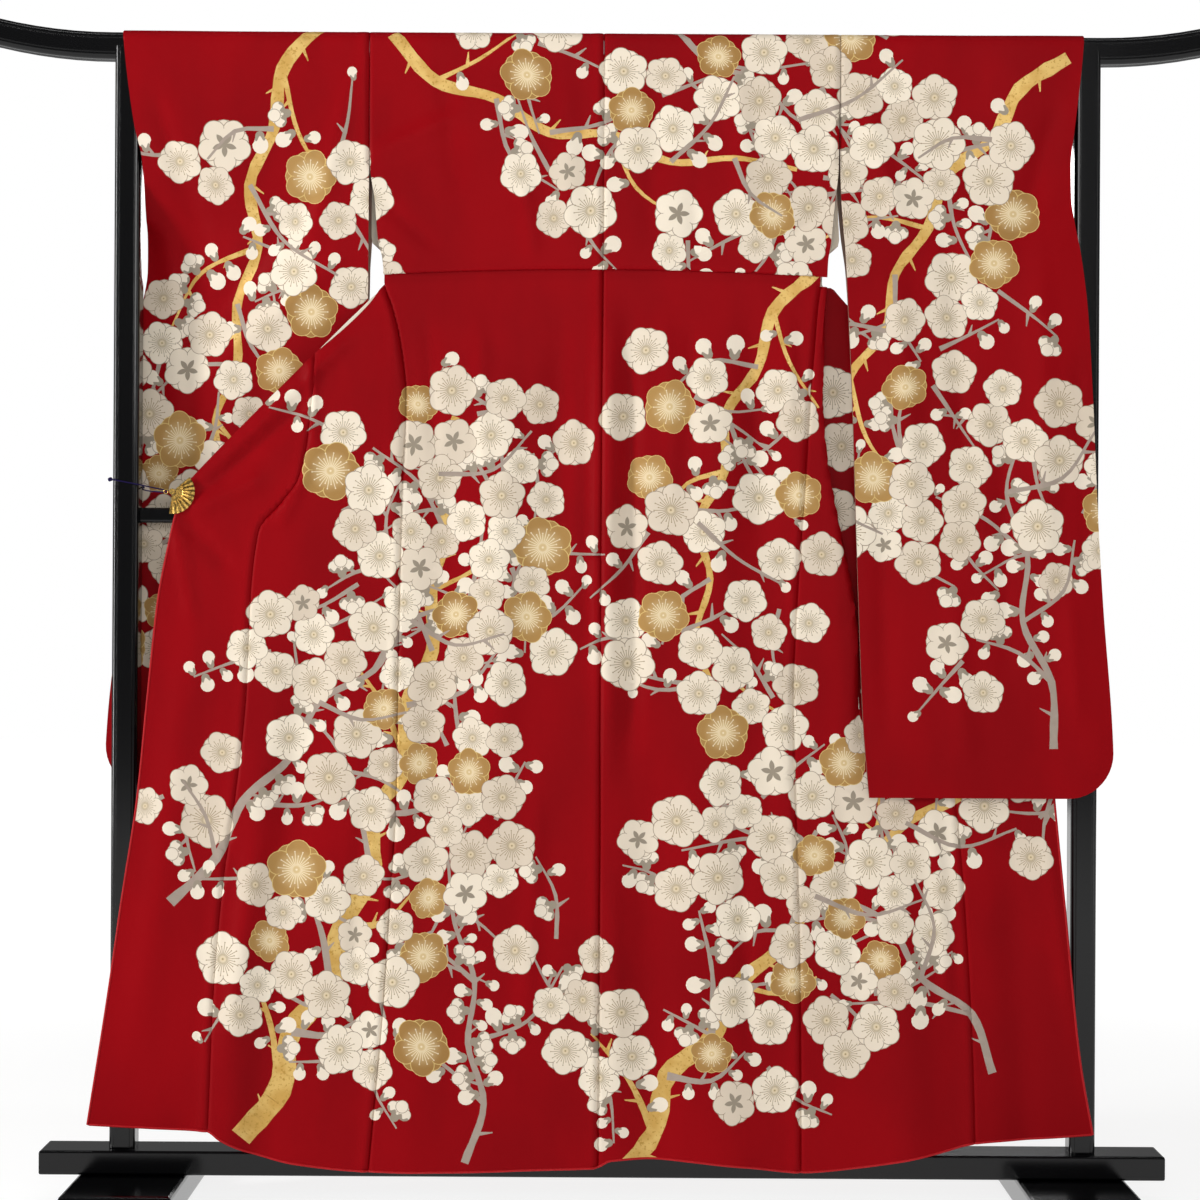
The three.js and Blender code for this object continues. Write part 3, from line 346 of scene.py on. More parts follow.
def back_upper(side):
    edge = curve(BACK_EDGES, 1 if side == "left" else 2)
    centre = lambda z: CENTRE + 0 * z
    left, right = (edge, centre) if side == "left" else (centre, edge)

    def place(u, x, z):
        tuck = tuck_height(x)
        away, height = over_rod(z)
        seam = groove(x - CENTRE, 0.8) * ease(z - tuck, 2, 14) + groove(x - edge(z), 0.7) * (z > ARMHOLE_END)
        depth = np.where(z > FALL, -away, yoke(z) - creases(YOKE_CREASES, x, z) * ease(z, 1300, 1330)) + seam
        front = yoke(tuck)
        turn = np.clip((tuck - z) / TUCK_TURN, 0, math.pi)
        folded = tuck - z - TUCK_FLAT
        depth = np.where(z < tuck, front + TUCK_TURN * (1 - np.cos(turn)), depth)
        height = np.where(z < tuck, tuck - TUCK_TURN * np.sin(turn), height)
        height = np.where(folded > 0, tuck + folded, height)
        return x, depth, height

    tuck_rows = [TUCK_HEIGHT - drop for drop in (0, 1.5, 3, 4.5, 6, 7.5, 9, 11, 13, 15)]
    bottom = lambda u: TUCK_HEIGHT - 7 - TUCK_FLAT - TUCK_DEEP + 0 * u
    return Panel(left, right, cloth_top, bottom, place, rows=OVER_ROWS + tuck_rows)


def back_lower(side):
    edge = curve(SIDE_SEAMS, 1 if side == "left" else 2)
    centre = lambda z: CENTRE + 0 * z
    left, right = (edge, centre) if side == "left" else (centre, edge)

    def place(u, x, z):
        depth = skirt_depth(x, z) + groove(x - CENTRE, 0.9) + groove(x - edge(z), 0.9) * (z < SKIRT_TOP)
        return x, depth, z

    top = lambda u: TUCK_HEIGHT + TUCK_DEEP - 4 + 0 * u
    return Panel(left, right, top, hem_below(left, right), place)


def left_front():
    seam, side = curve(LEFT_FRONT, 1), curve(SIDE_SEAMS, 1)

    def place(u, x, z):
        depth = skirt_depth(x, z) + groove(x - side(z), 0.9) + groove(x - seam(z), 0.7)
        return x, depth, z

    top = lambda u: mix(LEFT_SEAM_TOP, SKIRT_TOP, u)
    return Panel(seam, side, top, hem_below(seam, side), place)


def left_overlap():
    free, seam = curve(LEFT_FRONT, 2), curve(LEFT_FRONT, 1)

    def place(u, x, z):
        return x, skirt_depth(x, z) + groove(x - seam(z), 0.7), z

    top = lambda u: mix(LEFT_FREE_TOP, LEFT_SEAM_TOP, u)
    return Panel(free, seam, top, hem_below(free, seam), place)


pleat_edge, pleat_closed = curve(RIGHT_FRONT, 1), curve(RIGHT_FRONT, 2)
right_seam, right_free, right_side = curve(RIGHT_FRONT, 3), curve(RIGHT_FRONT, 4), curve(SIDE_SEAMS, 2)
PLEAT_FLAT = 2 * math.pi * PLEAT_TURN + 2 * PLEAT_BACK  # cloth that the closed pleat takes up


def right_front():
    def lengths(z):
        start = pleat_edge(z) - PLEAT_TURN
        fold = math.pi * PLEAT_TURN + 0 * z
        return [start - right_side(z), fold, PLEAT_BACK + 0 * z, fold, right_seam(z) - start + PLEAT_BACK]

    def place(u, x, z):
        parts = lengths(z)
        closed = pleat_closed(z)
        total = sum(parts)
        reached = 0 * z
        knots = [0 * z]
        for number, part in enumerate(parts):
            reached = reached + part / total
            knots.append(mix(PLEAT_AT[number + 1], reached, closed))
        s = 0 * z
        for low, high, first, last in zip(knots, knots[1:], PLEAT_AT, PLEAT_AT[1:]):
            inside = (u >= low) & (u <= high) if last < 1 else u >= low
            s = np.where(inside, mix(first, last, (u - low) / (high - low)), s)
        start = pleat_edge(z) - PLEAT_TURN
        end = start - PLEAT_BACK
        _, first, second, third, fourth, _ = PLEAT_AT
        side, seam = right_side(z), right_seam(z)
        turn_out = math.pi * np.clip((s - first) / (second - first), 0, 1)
        turn_back = math.pi * np.clip((s - third) / (fourth - third), 0, 1)
        across = np.select(
            [s <= first, s <= second, s <= third, s <= fourth],
            [
                mix(side, start, s / first),
                start + PLEAT_TURN * np.sin(turn_out),
                mix(start, end, (s - second) / (third - second)),
                end - PLEAT_TURN * np.sin(turn_back),
            ],
            mix(end, seam, (s - fourth) / (1 - fourth)),
        )
        back = PLEAT_TURN * (1 - np.cos(turn_out)) + PLEAT_TURN * (1 - np.cos(turn_back))
        across = mix(mix(side, seam, s), across, closed)
        depth = skirt_depth(across, z) + closed * back + groove(across - side, 0.9) + groove(across - seam, 0.7)
        return across, depth, z

    width = lambda z: mix(right_seam(z) - right_side(z), sum(lengths(z)), pleat_closed(z))
    top = lambda u: mix(SKIRT_TOP, RIGHT_SEAM_TOP, np.maximum(u - 0.7, 0) / 0.3)
    bottom = hem_below(right_side, right_seam)
    return Panel(right_side, lambda z: right_side(z) + width(z), top, bottom, place, step=6.5)


def right_overlap():
    def place(u, x, z):
        return x, skirt_depth(x, z) + pleat_closed(z) * 4 * PLEAT_TURN + groove(x - right_seam(z), 0.7), z

    top = lambda u: mix(RIGHT_SEAM_TOP, RIGHT_FREE_TOP, u)
    return Panel(right_seam, right_free, top, hem_below(right_seam, right_free), place)


def sleeve(table, far):
    way = math.copysign(1, table[0][1])
    sign = 1 if far else -1
    inner, outer, near_in, near_out, far_in, far_out = (curve(table, column) for column in range(1, 7))
    meet = CLOTH / 2 + SEAM / 2

    def outer_at(z):
        rise = np.clip(SLEEVE_ROUND - (z - SLEEVE_END), 0, SLEEVE_ROUND)
        return outer(z) - way * (SLEEVE_ROUND - np.sqrt(SLEEVE_ROUND**2 - rise**2))

    def inner_at(z):
        """The inner edge, where the far layer closes the slit as seen from in front."""
        cover = SLIT_COVER * ease(z, 1300, 1350) * ease(1460 - z, 0, 20) if far else 0
        return inner(z) + way * (0.05 - cover)

    left, right = (outer_at, inner_at) if way < 0 else (inner_at, outer_at)

    def depth_at(x, z):
        u = (x - inner(z)) / (outer_at(z) - inner(z))
        blend = mix(ease(u, 0.15, 0.9), ease(u, 0.5, 0.88), ease(z, 1380, 1500))
        near = mix(near_in(z), near_out(z), blend)
        farther = mix(far_in(z), far_out(z), blend)
        from_edge = np.abs(outer_at(z) - x) + 60 * ease(z, OPENING_END - 60, OPENING_END)
        opened = ease(from_edge, -4, 34) * ease(z - SLEEVE_END, -4, 34)
        return (near + farther) / 2 + sign * mix(meet, np.maximum((farther - near) / 2, meet), opened)

    def place(u, x, z):
        away, height = over_rod(z)
        depth = depth_at(x, np.minimum(z, FALL))
        shown = creases(SLEEVE_CREASES, x, z) * ease(z, 575, 640) * ease(np.abs(outer_at(z) - x), 0, 40)
        shown = shown * ease(FALL - z, 0, 60)
        seam = groove(x - inner(z), 0.7) * (z > ARMHOLE_END)
        depth = np.where(z > FALL, sign * away * np.abs(depth) / HANG, depth - (0.4 if far else 1) * shown)
        return x, depth - sign * seam, height

    low_rows = [SLEEVE_END + rise for rise in (1.5, 3.5, 6, 9, 13)]
    return Panel(left, right, cloth_top, lambda u: SLEEVE_END + 0 * u, place, rows=OVER_ROWS + low_rows)


def surface(rows):
    """A panel through a grid of points, laid flat as a rectangle. rows run down, and points across."""
    grid = np.array(rows, float)
    across = np.linalg.norm(np.diff(grid, axis=1), axis=2).sum(axis=1).mean()
    steps = np.linalg.norm(np.diff(grid, axis=0), axis=2).mean(axis=1)
    reach = np.concatenate(([0], np.cumsum(steps)))
    lines = [[curve(list(zip(-reach, grid[:, i, axis]))) for axis in range(3)] for i in range(grid.shape[1])]

    def place(u, x, z):
        spot = np.clip(u, 0, 1) * (grid.shape[1] - 1)
        i = np.clip(spot.astype(int), 0, grid.shape[1] - 2)
        along = np.array([[line(z) for line in column] for column in lines])
        pick = np.arange(len(z))
        low, high = along[i, :, pick], along[i + 1, :, pick]
        return tuple((low + (high - low) * (spot - i)[:, None]).T)

    return Panel(lambda z: 0 * z, lambda z: across + 0 * z, lambda u: 0.0 * u, lambda u: -reach[-1] + 0 * u, place,
                 step=10)


def neck_hub(way):
    return CENTRE + way * (NECK_HALF - NECK_ROUND)


def on_rod(x, length):
    away, height = over_rod(np.array(TOP - length))
    return x, (float(away) if length <= OVER else HANG), float(height)


NECK_TURNS = [math.pi / 2 * (1 - i / 16) for i in range(17)]


def chest(table):
    way = math.copysign(1, table[0][0][0])
    rows = []
    for turn in NECK_TURNS:
        length = max(NECK_ROUND * (1 - math.sin(turn)), 0.05)
        edge = neck_hub(way) + way * NECK_ROUND * math.cos(turn)
        rows.append([on_rod(mix(table[0][0][0], edge, i / 14), length) for i in range(15)])
    for outer, inner in table:
        rows.append([tuple(mix(a, b, i / 14) for a, b in zip(outer, inner)) for i in range(15)])
    return surface(rows)


def lower_collar(table):
    way = math.copysign(1, table[0][0][0])
    edge = [Vector(inner) for _, inner in table[COLLAR_FROM:]]
    rows = []
    for j, point in enumerate(edge):
        along = edge[min(j + 1, len(edge) - 1)] - edge[max(j - 1, 0)]
        along.y = 0
        along.normalize()
        inward = Vector((way * along.z, 0, -way * along.x))
        rows.append([tuple(point + inward * reach) for reach in (0.1, 14, 28, 41, COLLAR_WIDE)])
    return surface(rows)


def over_collar():
    low = LEFT_CHEST[COLLAR_FROM][1][2] + SEAM
    reaches = [0.1, 3, 6, 9.6, 13, 16.5, 20, 23.5, 26.9, 34, 41, 48, COLLAR_WIDE]

    def leg(way, table):
        sewn = [inner for _, inner in table[: COLLAR_FROM + 1]]
        start = (CENTRE + way * NECK_HALF, HANG, FALL - (NECK_ROUND - OVER))
        rows = [start, *sewn[:COLLAR_FROM], (*sewn[COLLAR_FROM][:2], low)]
        return [[(x - way * reach, y, z) for reach in reaches] for x, y, z in rows]

    def corner(way):
        return [
            [
                on_rod(
                    neck_hub(way) + way * (NECK_ROUND - reach) * math.cos(turn),
                    NECK_ROUND - (NECK_ROUND - reach) * math.sin(turn),
                )
                for reach in reaches
            ]
            for turn in NECK_TURNS[1:-1]
        ]

    across = [[on_rod(mix(neck_hub(-1), neck_hub(1), i / 6), reach) for reach in reaches] for i in range(7)]
    return surface([*leg(-1, LEFT_CHEST)[::-1], *corner(-1)[::-1], *across, *corner(1), *leg(1, RIGHT_CHEST)])


# ---- motifs -----------------------------------------------------------------------------------------

WHITE, GILT, REAR, BUD, GOLD_BRANCH, GREY_BRANCH, SIDE = range(1, 8)
GROUND, LINING, PIPING = 0, 8, 9


class Motif:
    """A shape dyed on the cloth: its outline, and the frame in which its lines are drawn."""

    def __init__(self, kind, centre, outline, radius=1.0, turn=0.0, tone=0.5, squash=1.0):
        self.kind, self.centre, self.tone = kind, np.array(centre, float), tone
        cos, sin = math.cos(turn), math.sin(turn)
        self.frame = np.array([[cos, sin], [-sin, cos]]) * radius * np.array([[1], [squash]])
        self.outline = np.array(outline, float) @ self.frame
        self.unframe = np.linalg.inv(self.frame)

    @property
    def centre_point(self):
        return Vector(self.centre)

    def moved(self, across):
        copy = object.__new__(Motif)
        copy.__dict__.update(self.__dict__, centre=self.centre + (across, 0))
        return copy


def lobed(lobes, base, count):
    """An outline round the origin of circles at (distance, direction, radius), and of a core."""
    points = []
    for step in range(count):
        angle = 2 * math.pi * step / count
        reach = base
        for hub, way, lobe in lobes:
            a = angle - way
            if math.cos(a) > 0 and abs(hub * math.sin(a)) < lobe:
                reach = max(reach, hub * math.cos(a) + math.sqrt(lobe**2 - (hub * math.sin(a)) ** 2))
        points.append((reach * math.cos(angle), reach * math.sin(angle)))
    return points


FIFTH = 2 * math.pi / 5
OUTER_PETAL = (0.6, 0.4)  # how far out its centre is, and its radius
SECOND_PETAL = (0.63, 0.29)
BLOSSOM = lobed(
    [(OUTER_PETAL[0], k * FIFTH, OUTER_PETAL[1]) for k in range(5)]
    + [(SECOND_PETAL[0], (k + 0.5) * FIFTH, SECOND_PETAL[1]) for k in range(5)],
    0.5,
    50,
)
SIDE_PETALS = [(0.62, 0.0, 0.4), (0.52, 0.95, 0.38), (0.52, -0.95, 0.38)]
SIDE_BLOSSOM = lobed([*SIDE_PETALS, (0.18, math.pi, 0.26)], 0.3, 30)
BUD_SHAPE = lobed([(0.4, 0.0, 0.86), (0.5, math.pi, 0.5)], 0.62, 20)


def smooth_path(points, step=14.0):
    """Points along a Catmull-Rom spline."""
    p = [Vector(points[0]) * 2 - Vector(points[1]), *map(Vector, points), Vector(points[-1]) * 2 - Vector(points[-2])]
    path = []
    for a, b, c, d in zip(p, p[1:], p[2:], p[3:]):
        count = max(int((c - b).length / step), 1)
        for i in range(count):
            t = i / count
            path.append(0.5 * (2 * b + (c - a) * t + (2 * a - 5 * b + 4 * c - d) * t**2
                               + (3 * b - a - 3 * c + d) * t**3))
    return [*path, p[-2]]


def hull(points):
    """The convex outline of a few points, counterclockwise."""
    points = sorted((p.x, p.y) for p in points)

    def chain(order):
        line = []
        for p in order:
            while len(line) > 1 and (line[-1][0] - line[-2][0]) * (p[1] - line[-2][1]) <= (
                line[-1][1] - line[-2][1]
            ) * (p[0] - line[-2][0]):
                line.pop()
            line.append(p)
        return line[:-1]

    return chain(points) + chain(points[::-1])


def branch_motifs(kind, first, last, points, rng):
    """A knotty branch, as a row of tapered links with short spurs."""
    path = smooth_path(points)
    finish = GOLD_BRANCH if kind == GOLD else GREY_BRANCH
    wide = [mix(first, last, i / (len(path) - 1)) * rng.uniform(0.86, 1.14) / 2 for i in range(len(path))]
    sides = []
    for i, point in enumerate(path):
        along = (path[min(i + 1, len(path) - 1)] - path[max(i - 1, 0)]).normalized()
        sides.append(Vector((-along.y, along.x)))
    motifs = []
    for i in range(len(path) - 1):
        a, b = path[i], path[i + 1]
        quad = [a - sides[i] * wide[i], b - sides[i + 1] * wide[i + 1], b + sides[i + 1] * wide[i + 1],
                a + sides[i] * wide[i]]
        middle = (a + b) / 2
        motifs.append(Motif(finish, middle, hull([p - middle for p in quad]), tone=rng.random()))
        if first > 6 and i % 5 == 3:
            side = sides[i] * rng.choice((-1, 1))
            along = (b - a).normalized()
            root, tip = a + side * wide[i] * 0.4, a + side * (wide[i] + rng.uniform(7, 16)) + along * 9
            spur = [root - along * 3.2, root + along * 3.2, tip + along * 1.2, tip - along * 0.6]
            centre = (root + tip) / 2
            motifs.append(Motif(finish, centre, hull([p - centre for p in spur]), tone=rng.random()))
    return motifs, path, wide, sides


BLOSSOM_SIZES = (29, 32, 34, 35, 36, 37, 38, 41)
BLOSSOM_SPACING = 0.72  # least distance between two, as a share of their radii together
WHITE_SIZE, GILT_SIZE = 0.95, 1.04  # how large they are drawn in the room they take
SIDE_RADIUS, LARGEST_BUD, BUD_SPACING = 23.0, 18, 21
CLUSTER_TRIES = 400


def knots(x, z, heading, bend, length, rng):
    """Points of a branch that turns this way and that as it bends."""
    count = max(round(length / KNOT_STEP), 2)
    points = [(x, z)]
    for i in range(count):
        heading += bend / count
        way = math.radians(heading + KINK * rng.uniform(0.5, 1.3) * (1 if i % 2 else -1))
        x, z = x + length / count * math.cos(way), z + length / count * math.sin(way)
        points.append((x, z))
    return points


def grown(boughs, seed):
    """Branches and clusters: side shoots leave each bough by turns, and blossom sits at their tips."""
    rng = random.Random(seed)
    branches, clusters = [], []

    def cluster(spot):
        half_wide, half_high = rng.uniform(*CLUSTER_HALF), rng.uniform(*CLUSTER_HALF)
        clusters.append((*spot, half_wide, half_high, rng.choice(CLUSTER_COUNTS)))

    for kind, x, z, heading, bend, length, wide in boughs:
        points = knots(x, z, heading, bend, length, rng)
        branches.append((kind, wide, wide * BOUGH_TIP, points))
        for i in range(1, len(points) - 1):
            (here_x, here_z), (next_x, next_z) = points[i], points[i + 1]
            side = 1 if i % 2 else -1
            way = math.degrees(math.atan2(next_z - here_z, next_x - here_x)) + side * rng.uniform(*SHOOT_SPREAD)
            shoot = knots(here_x, here_z, way, -SHOOT_BEND * side, rng.uniform(*SHOOT_LENGTH), rng)
            shoot_wide = max(SHOOT_SHARE * mix(wide, wide * BOUGH_TIP, i / len(points)), SHOOT_LEAST)
            branches.append((GOLD if kind == GOLD and i % 3 == 1 else GREY, shoot_wide, SHOOT_TIP, shoot))
            cluster(shoot[-1])
        cluster(points[-1])
    return branches, clusters


def pattern(branches, clusters, seed):
    """All motifs of one part of the layout, from the lowest layer to the topmost."""
    rng = random.Random(seed)
    low, over, buds, flowers, placed = [], [], [], [], []

    def clear(spot):
        apart = all((spot - bud.centre_point).length > BUD_SPACING for bud in buds)
        return apart and all((spot - other).length > 0.9 * size for other, size in placed)

    def bud(spot, radius, out):
        turn = math.atan2(out.y, out.x) + rng.uniform(-0.45, 0.45)
        if radius > LARGEST_BUD:
            buds.append(Motif(SIDE, spot, SIDE_BLOSSOM, radius, turn, rng.random()))
        else:
            buds.append(Motif(BUD, spot, BUD_SHAPE, radius, turn, rng.random(), rng.uniform(0.85, 1)))

    for x, z, half_wide, half_high, count in clusters:
        made = 0
        for _ in range(CLUSTER_TRIES):
            if made == count:
                break
            angle, reach = rng.uniform(0, 2 * math.pi), math.sqrt(rng.random())
            spot = Vector((x + half_wide * reach * math.cos(angle), z + half_high * reach * math.sin(angle)))
            radius = rng.choice(BLOSSOM_SIZES) + rng.uniform(-1, 1)
            if any((spot - other).length < BLOSSOM_SPACING * (radius + size) for other, size in placed):
                continue
            placed.append((spot, radius))
            made += 1
            kind = GILT if len(placed) % 7 == 3 else REAR if len(placed) % 9 == 6 else WHITE
            drawn = radius * (GILT_SIZE if kind == GILT else WHITE_SIZE)
            turn = rng.uniform(0, 2 * math.pi)
            flowers.append(Motif(kind, spot, BLOSSOM, drawn, turn, rng.random(), rng.uniform(0.9, 1.0)))
    twigs = []
    for x, z, half_wide, half_high, count in clusters:
        for _ in range(1 + count // 4):
            angle = rng.uniform(0, 2 * math.pi)
            way = Vector((math.cos(angle), math.sin(angle)))
            start = Vector((x + 0.5 * half_wide * way.x, z + 0.5 * half_high * way.y))
            reach = 0.5 * min(half_wide, half_high) + rng.uniform(50, 95)
            bend = Vector((-way.y, way.x)) * rng.uniform(-14, 14)
            points = [tuple(start), tuple(start + way * reach * 0.5 + bend), tuple(start + way * reach)]
            twigs.append((GREY, 6.5, 2.5, points))
    for kind, first, last, points in [*branches, *twigs]:
        motifs, path, wide, sides = branch_motifs(kind, first, last, points, rng)
        (over if kind == GREY and 6.6 < first < 9 and rng.random() < 0.35 else low).extend(motifs)
        if last > 6:
            continue
        for i in range(len(path) // 4, len(path)):
            side = 1 if i % 2 else -1
            if rng.random() < 0.3:
                radius = SIDE_RADIUS
            else:
                radius = mix(13.5, 10, i / len(path)) * rng.uniform(0.8, 1.25)
            out = sides[i] * side
            spot = path[i] + out * (wide[i] + (0.35 if radius > LARGEST_BUD else 0.98) * radius)
            if rng.random() < 0.62 and clear(spot):
                bud(spot, radius, out)
        along = (path[-1] - path[-2]).normalized()
        if clear(path[-1]):
            bud(path[-1] + along * 7, 9.0, along)
    rng.shuffle(flowers)
    return low + buds + flowers + over


SKIRT = pattern(*grown(SKIRT_BOUGHS, 21), 11)
UPPER = pattern(*grown(UPPER_BOUGHS, 22), 5)


def scattered(width, height, count, seed):
    """Motifs for a piece that the layout doesn't reach: a spray of blossom with its twigs."""
    rng = random.Random(seed)
    clusters, branches = [], []
    for _ in range(count):
        x, z = rng.uniform(0.1, 0.9) * width, -rng.uniform(0.05, 0.95) * height
        clusters.append((x, z, 80, 90, 5))
        end = (x + rng.uniform(-120, 120), z + rng.uniform(90, 190))
        branches.append((GREY, 9, 3, [(x, z), ((x + end[0]) / 2 + 14, (z + end[1]) / 2), end]))
    return pattern(branches, clusters, seed)


# ---- meshes -----------------------------------------------------------------------------------------


def boundary(panel):
    """The panel's outline in its flat plane, counterclockwise."""
    corners = []
    sides = [
        lambda t: (0 * t, t),
        lambda t: (t, 0 * t + 1),
        lambda t: (0 * t + 1, 1 - t),
        lambda t: (1 - t, 0 * t),
    ]
    for side in sides:
        t = np.linspace(0, 1, 400)
        x, z = panel.flat(*side(t))
        reach = np.concatenate(([0], np.cumsum(np.hypot(np.diff(x), np.diff(z)))))
        count = max(int(reach[-1] / panel.step), 2)
        even = np.interp(np.linspace(0, reach[-1], count + 1)[:-1], reach, t)
        x, z = panel.flat(*side(even))
        corners += list(zip(x, z))
    return np.array(corners)


EDGE_COLUMNS = [1.2, 2.6, 4.4, 7, 10.5]  # closer columns beside each edge, for the seams' dips


def free_points(panel):
    """Points inside the panel that keep its triangles small."""
    across = np.linspace(0, 1, 20)
    top, bottom = float(np.max(panel.top(across))), float(np.min(panel.bottom(across)))
    heights = list(np.arange(bottom + panel.step, top, panel.step)) + list(panel.rows)
    points = []
    for number, height in enumerate(sorted(heights)):
        left, right = float(panel.left(np.array(height))), float(panel.right(np.array(height)))
        count = max(int((right - left) / panel.step), 2)
        shift = 0.5 if number % 2 else 0.0
        share = (np.arange(count) + 0.5 + 0.5 * shift) / (count + 0.5)
        edges = np.array(EDGE_COLUMNS) / (right - left)
        share = np.concatenate((edges, share[(share > 1.3 * edges[-1]) & (share < 1 - 1.3 * edges[-1])], 1 - edges))
        x = mix(left, right, share)
        inside = (height < panel.top(share) - 0.3 * panel.step) & (height > panel.bottom(share) + 0.3 * panel.step)
        points += [(a, height) for a in x[inside]]
    return points


def inside(points, outline):
    """Which of the points lie inside a polygon."""
    x, y = points[:, 0:1], points[:, 1:2]
    x0, y0 = outline[:, 0], outline[:, 1]
    x1, y1 = np.roll(x0, -1), np.roll(y0, -1)
    crosses = (y0 > y) != (y1 > y)
    rise = np.where(y1 == y0, 1e-12, y1 - y0)
    return (crosses & (x < (x1 - x0) * (y - y0) / rise + x0)).sum(axis=1) % 2 == 1


def triangles(panel, motifs):
    """The panel's plane cut into triangles along every motif's outline, and each one's topmost motif."""
    edge = boundary(panel)
    low, high = edge.min(axis=0), edge.max(axis=0)
    points = [tuple(p) for p in edge]
    edges = [(i, (i + 1) % len(edge)) for i in range(len(edge))]
    used, outlines = [None], []
    for motif in motifs:
        outline = motif.centre + motif.outline
        if (outline.max(axis=0) < low).any() or (outline.min(axis=0) > high).any():
            continue
        start, count = len(points), len(outline)
        edges += [(start + i, start + (i + 1) % count) for i in range(count)]
        points += [tuple(p) for p in outline]
        used.append(motif)
        outlines.append(outline)
    points += free_points(panel)
    flat, _, cut, *_ = delaunay_2d_cdt([Vector(p) for p in points], edges, [], 0, 0.02, True)
    flat = np.array([tuple(p) for p in flat])
    cut = np.array([face for face in cut if len(face) == 3])
    middle = flat[cut].mean(axis=1)
    kept = inside(middle, edge)
    cut, middle = cut[kept], middle[kept]
    top = np.zeros(len(cut), int)
    for number, outline in enumerate(outlines, 1):
        near = np.nonzero(((middle > outline.min(axis=0)) & (middle < outline.max(axis=0))).all(axis=1))[0]
        top[near[inside(middle[near], outline)]] = number
    return flat, cut, top, used


SLOPE_STEP = 0.35


def normals_of(panel, flat, turn):
    """The surface's unit normals, from its slope on both sides of each point."""
    x, z = flat[:, 0], flat[:, 1]
    across = panel.spatial(x + SLOPE_STEP, z) - panel.spatial(x - SLOPE_STEP, z)
    up = panel.spatial(x, z + SLOPE_STEP) - panel.spatial(x, z - SLOPE_STEP)
    normal = np.cross(across, up)
    length = np.linalg.norm(normal, axis=1, keepdims=True)
    return turn * normal / np.maximum(length, 1e-9)


def roll(panel, side, radius=1.7, around=8):
    """A tube along a panel's bottom, or along its left or right edge and its bottom."""
    t = np.linspace(0, 1, 60)
    low = (t, 0 * t + 1)
    paths = {"bottom": [low], "left": [(0 * t, t), low], "right": [low, (0 * t + 1, 1 - t)]}
    flat = np.concatenate([np.stack(panel.flat(u, v), 1) for u, v in paths[side]])
    keep = np.concatenate(([True], np.linalg.norm(np.diff(flat, axis=0), axis=1) > 1e-6))
    flat = flat[keep]
    path = panel.spatial(flat[:, 0], flat[:, 1])
    along = np.gradient(path, axis=0)
    along /= np.linalg.norm(along, axis=1, keepdims=True)
    out = np.cross(along, (0, 1, 0))
    out /= np.linalg.norm(out, axis=1, keepdims=True)
    up = np.cross(along, out)
    angles = np.linspace(0, 2 * math.pi, around, endpoint=False)
    ring = out[:, None] * np.cos(angles)[None, :, None] + up[:, None] * np.sin(angles)[None, :, None]
    vertices = (path[:, None] + radius * ring).reshape(-1, 3)
    count = len(path)
    faces = []
    for i in range(count - 1):
        for k in range(around):
            a, b = i * around + k, i * around + (k + 1) % around
            faces += [(a, b, b + around), (a, b + around, a + around)]
    last = (count - 1) * around
    for k in range(1, around - 1):
        faces += [(0, k + 1, k), (last, last + k, last + k + 1)]
    return vertices, np.array(faces)


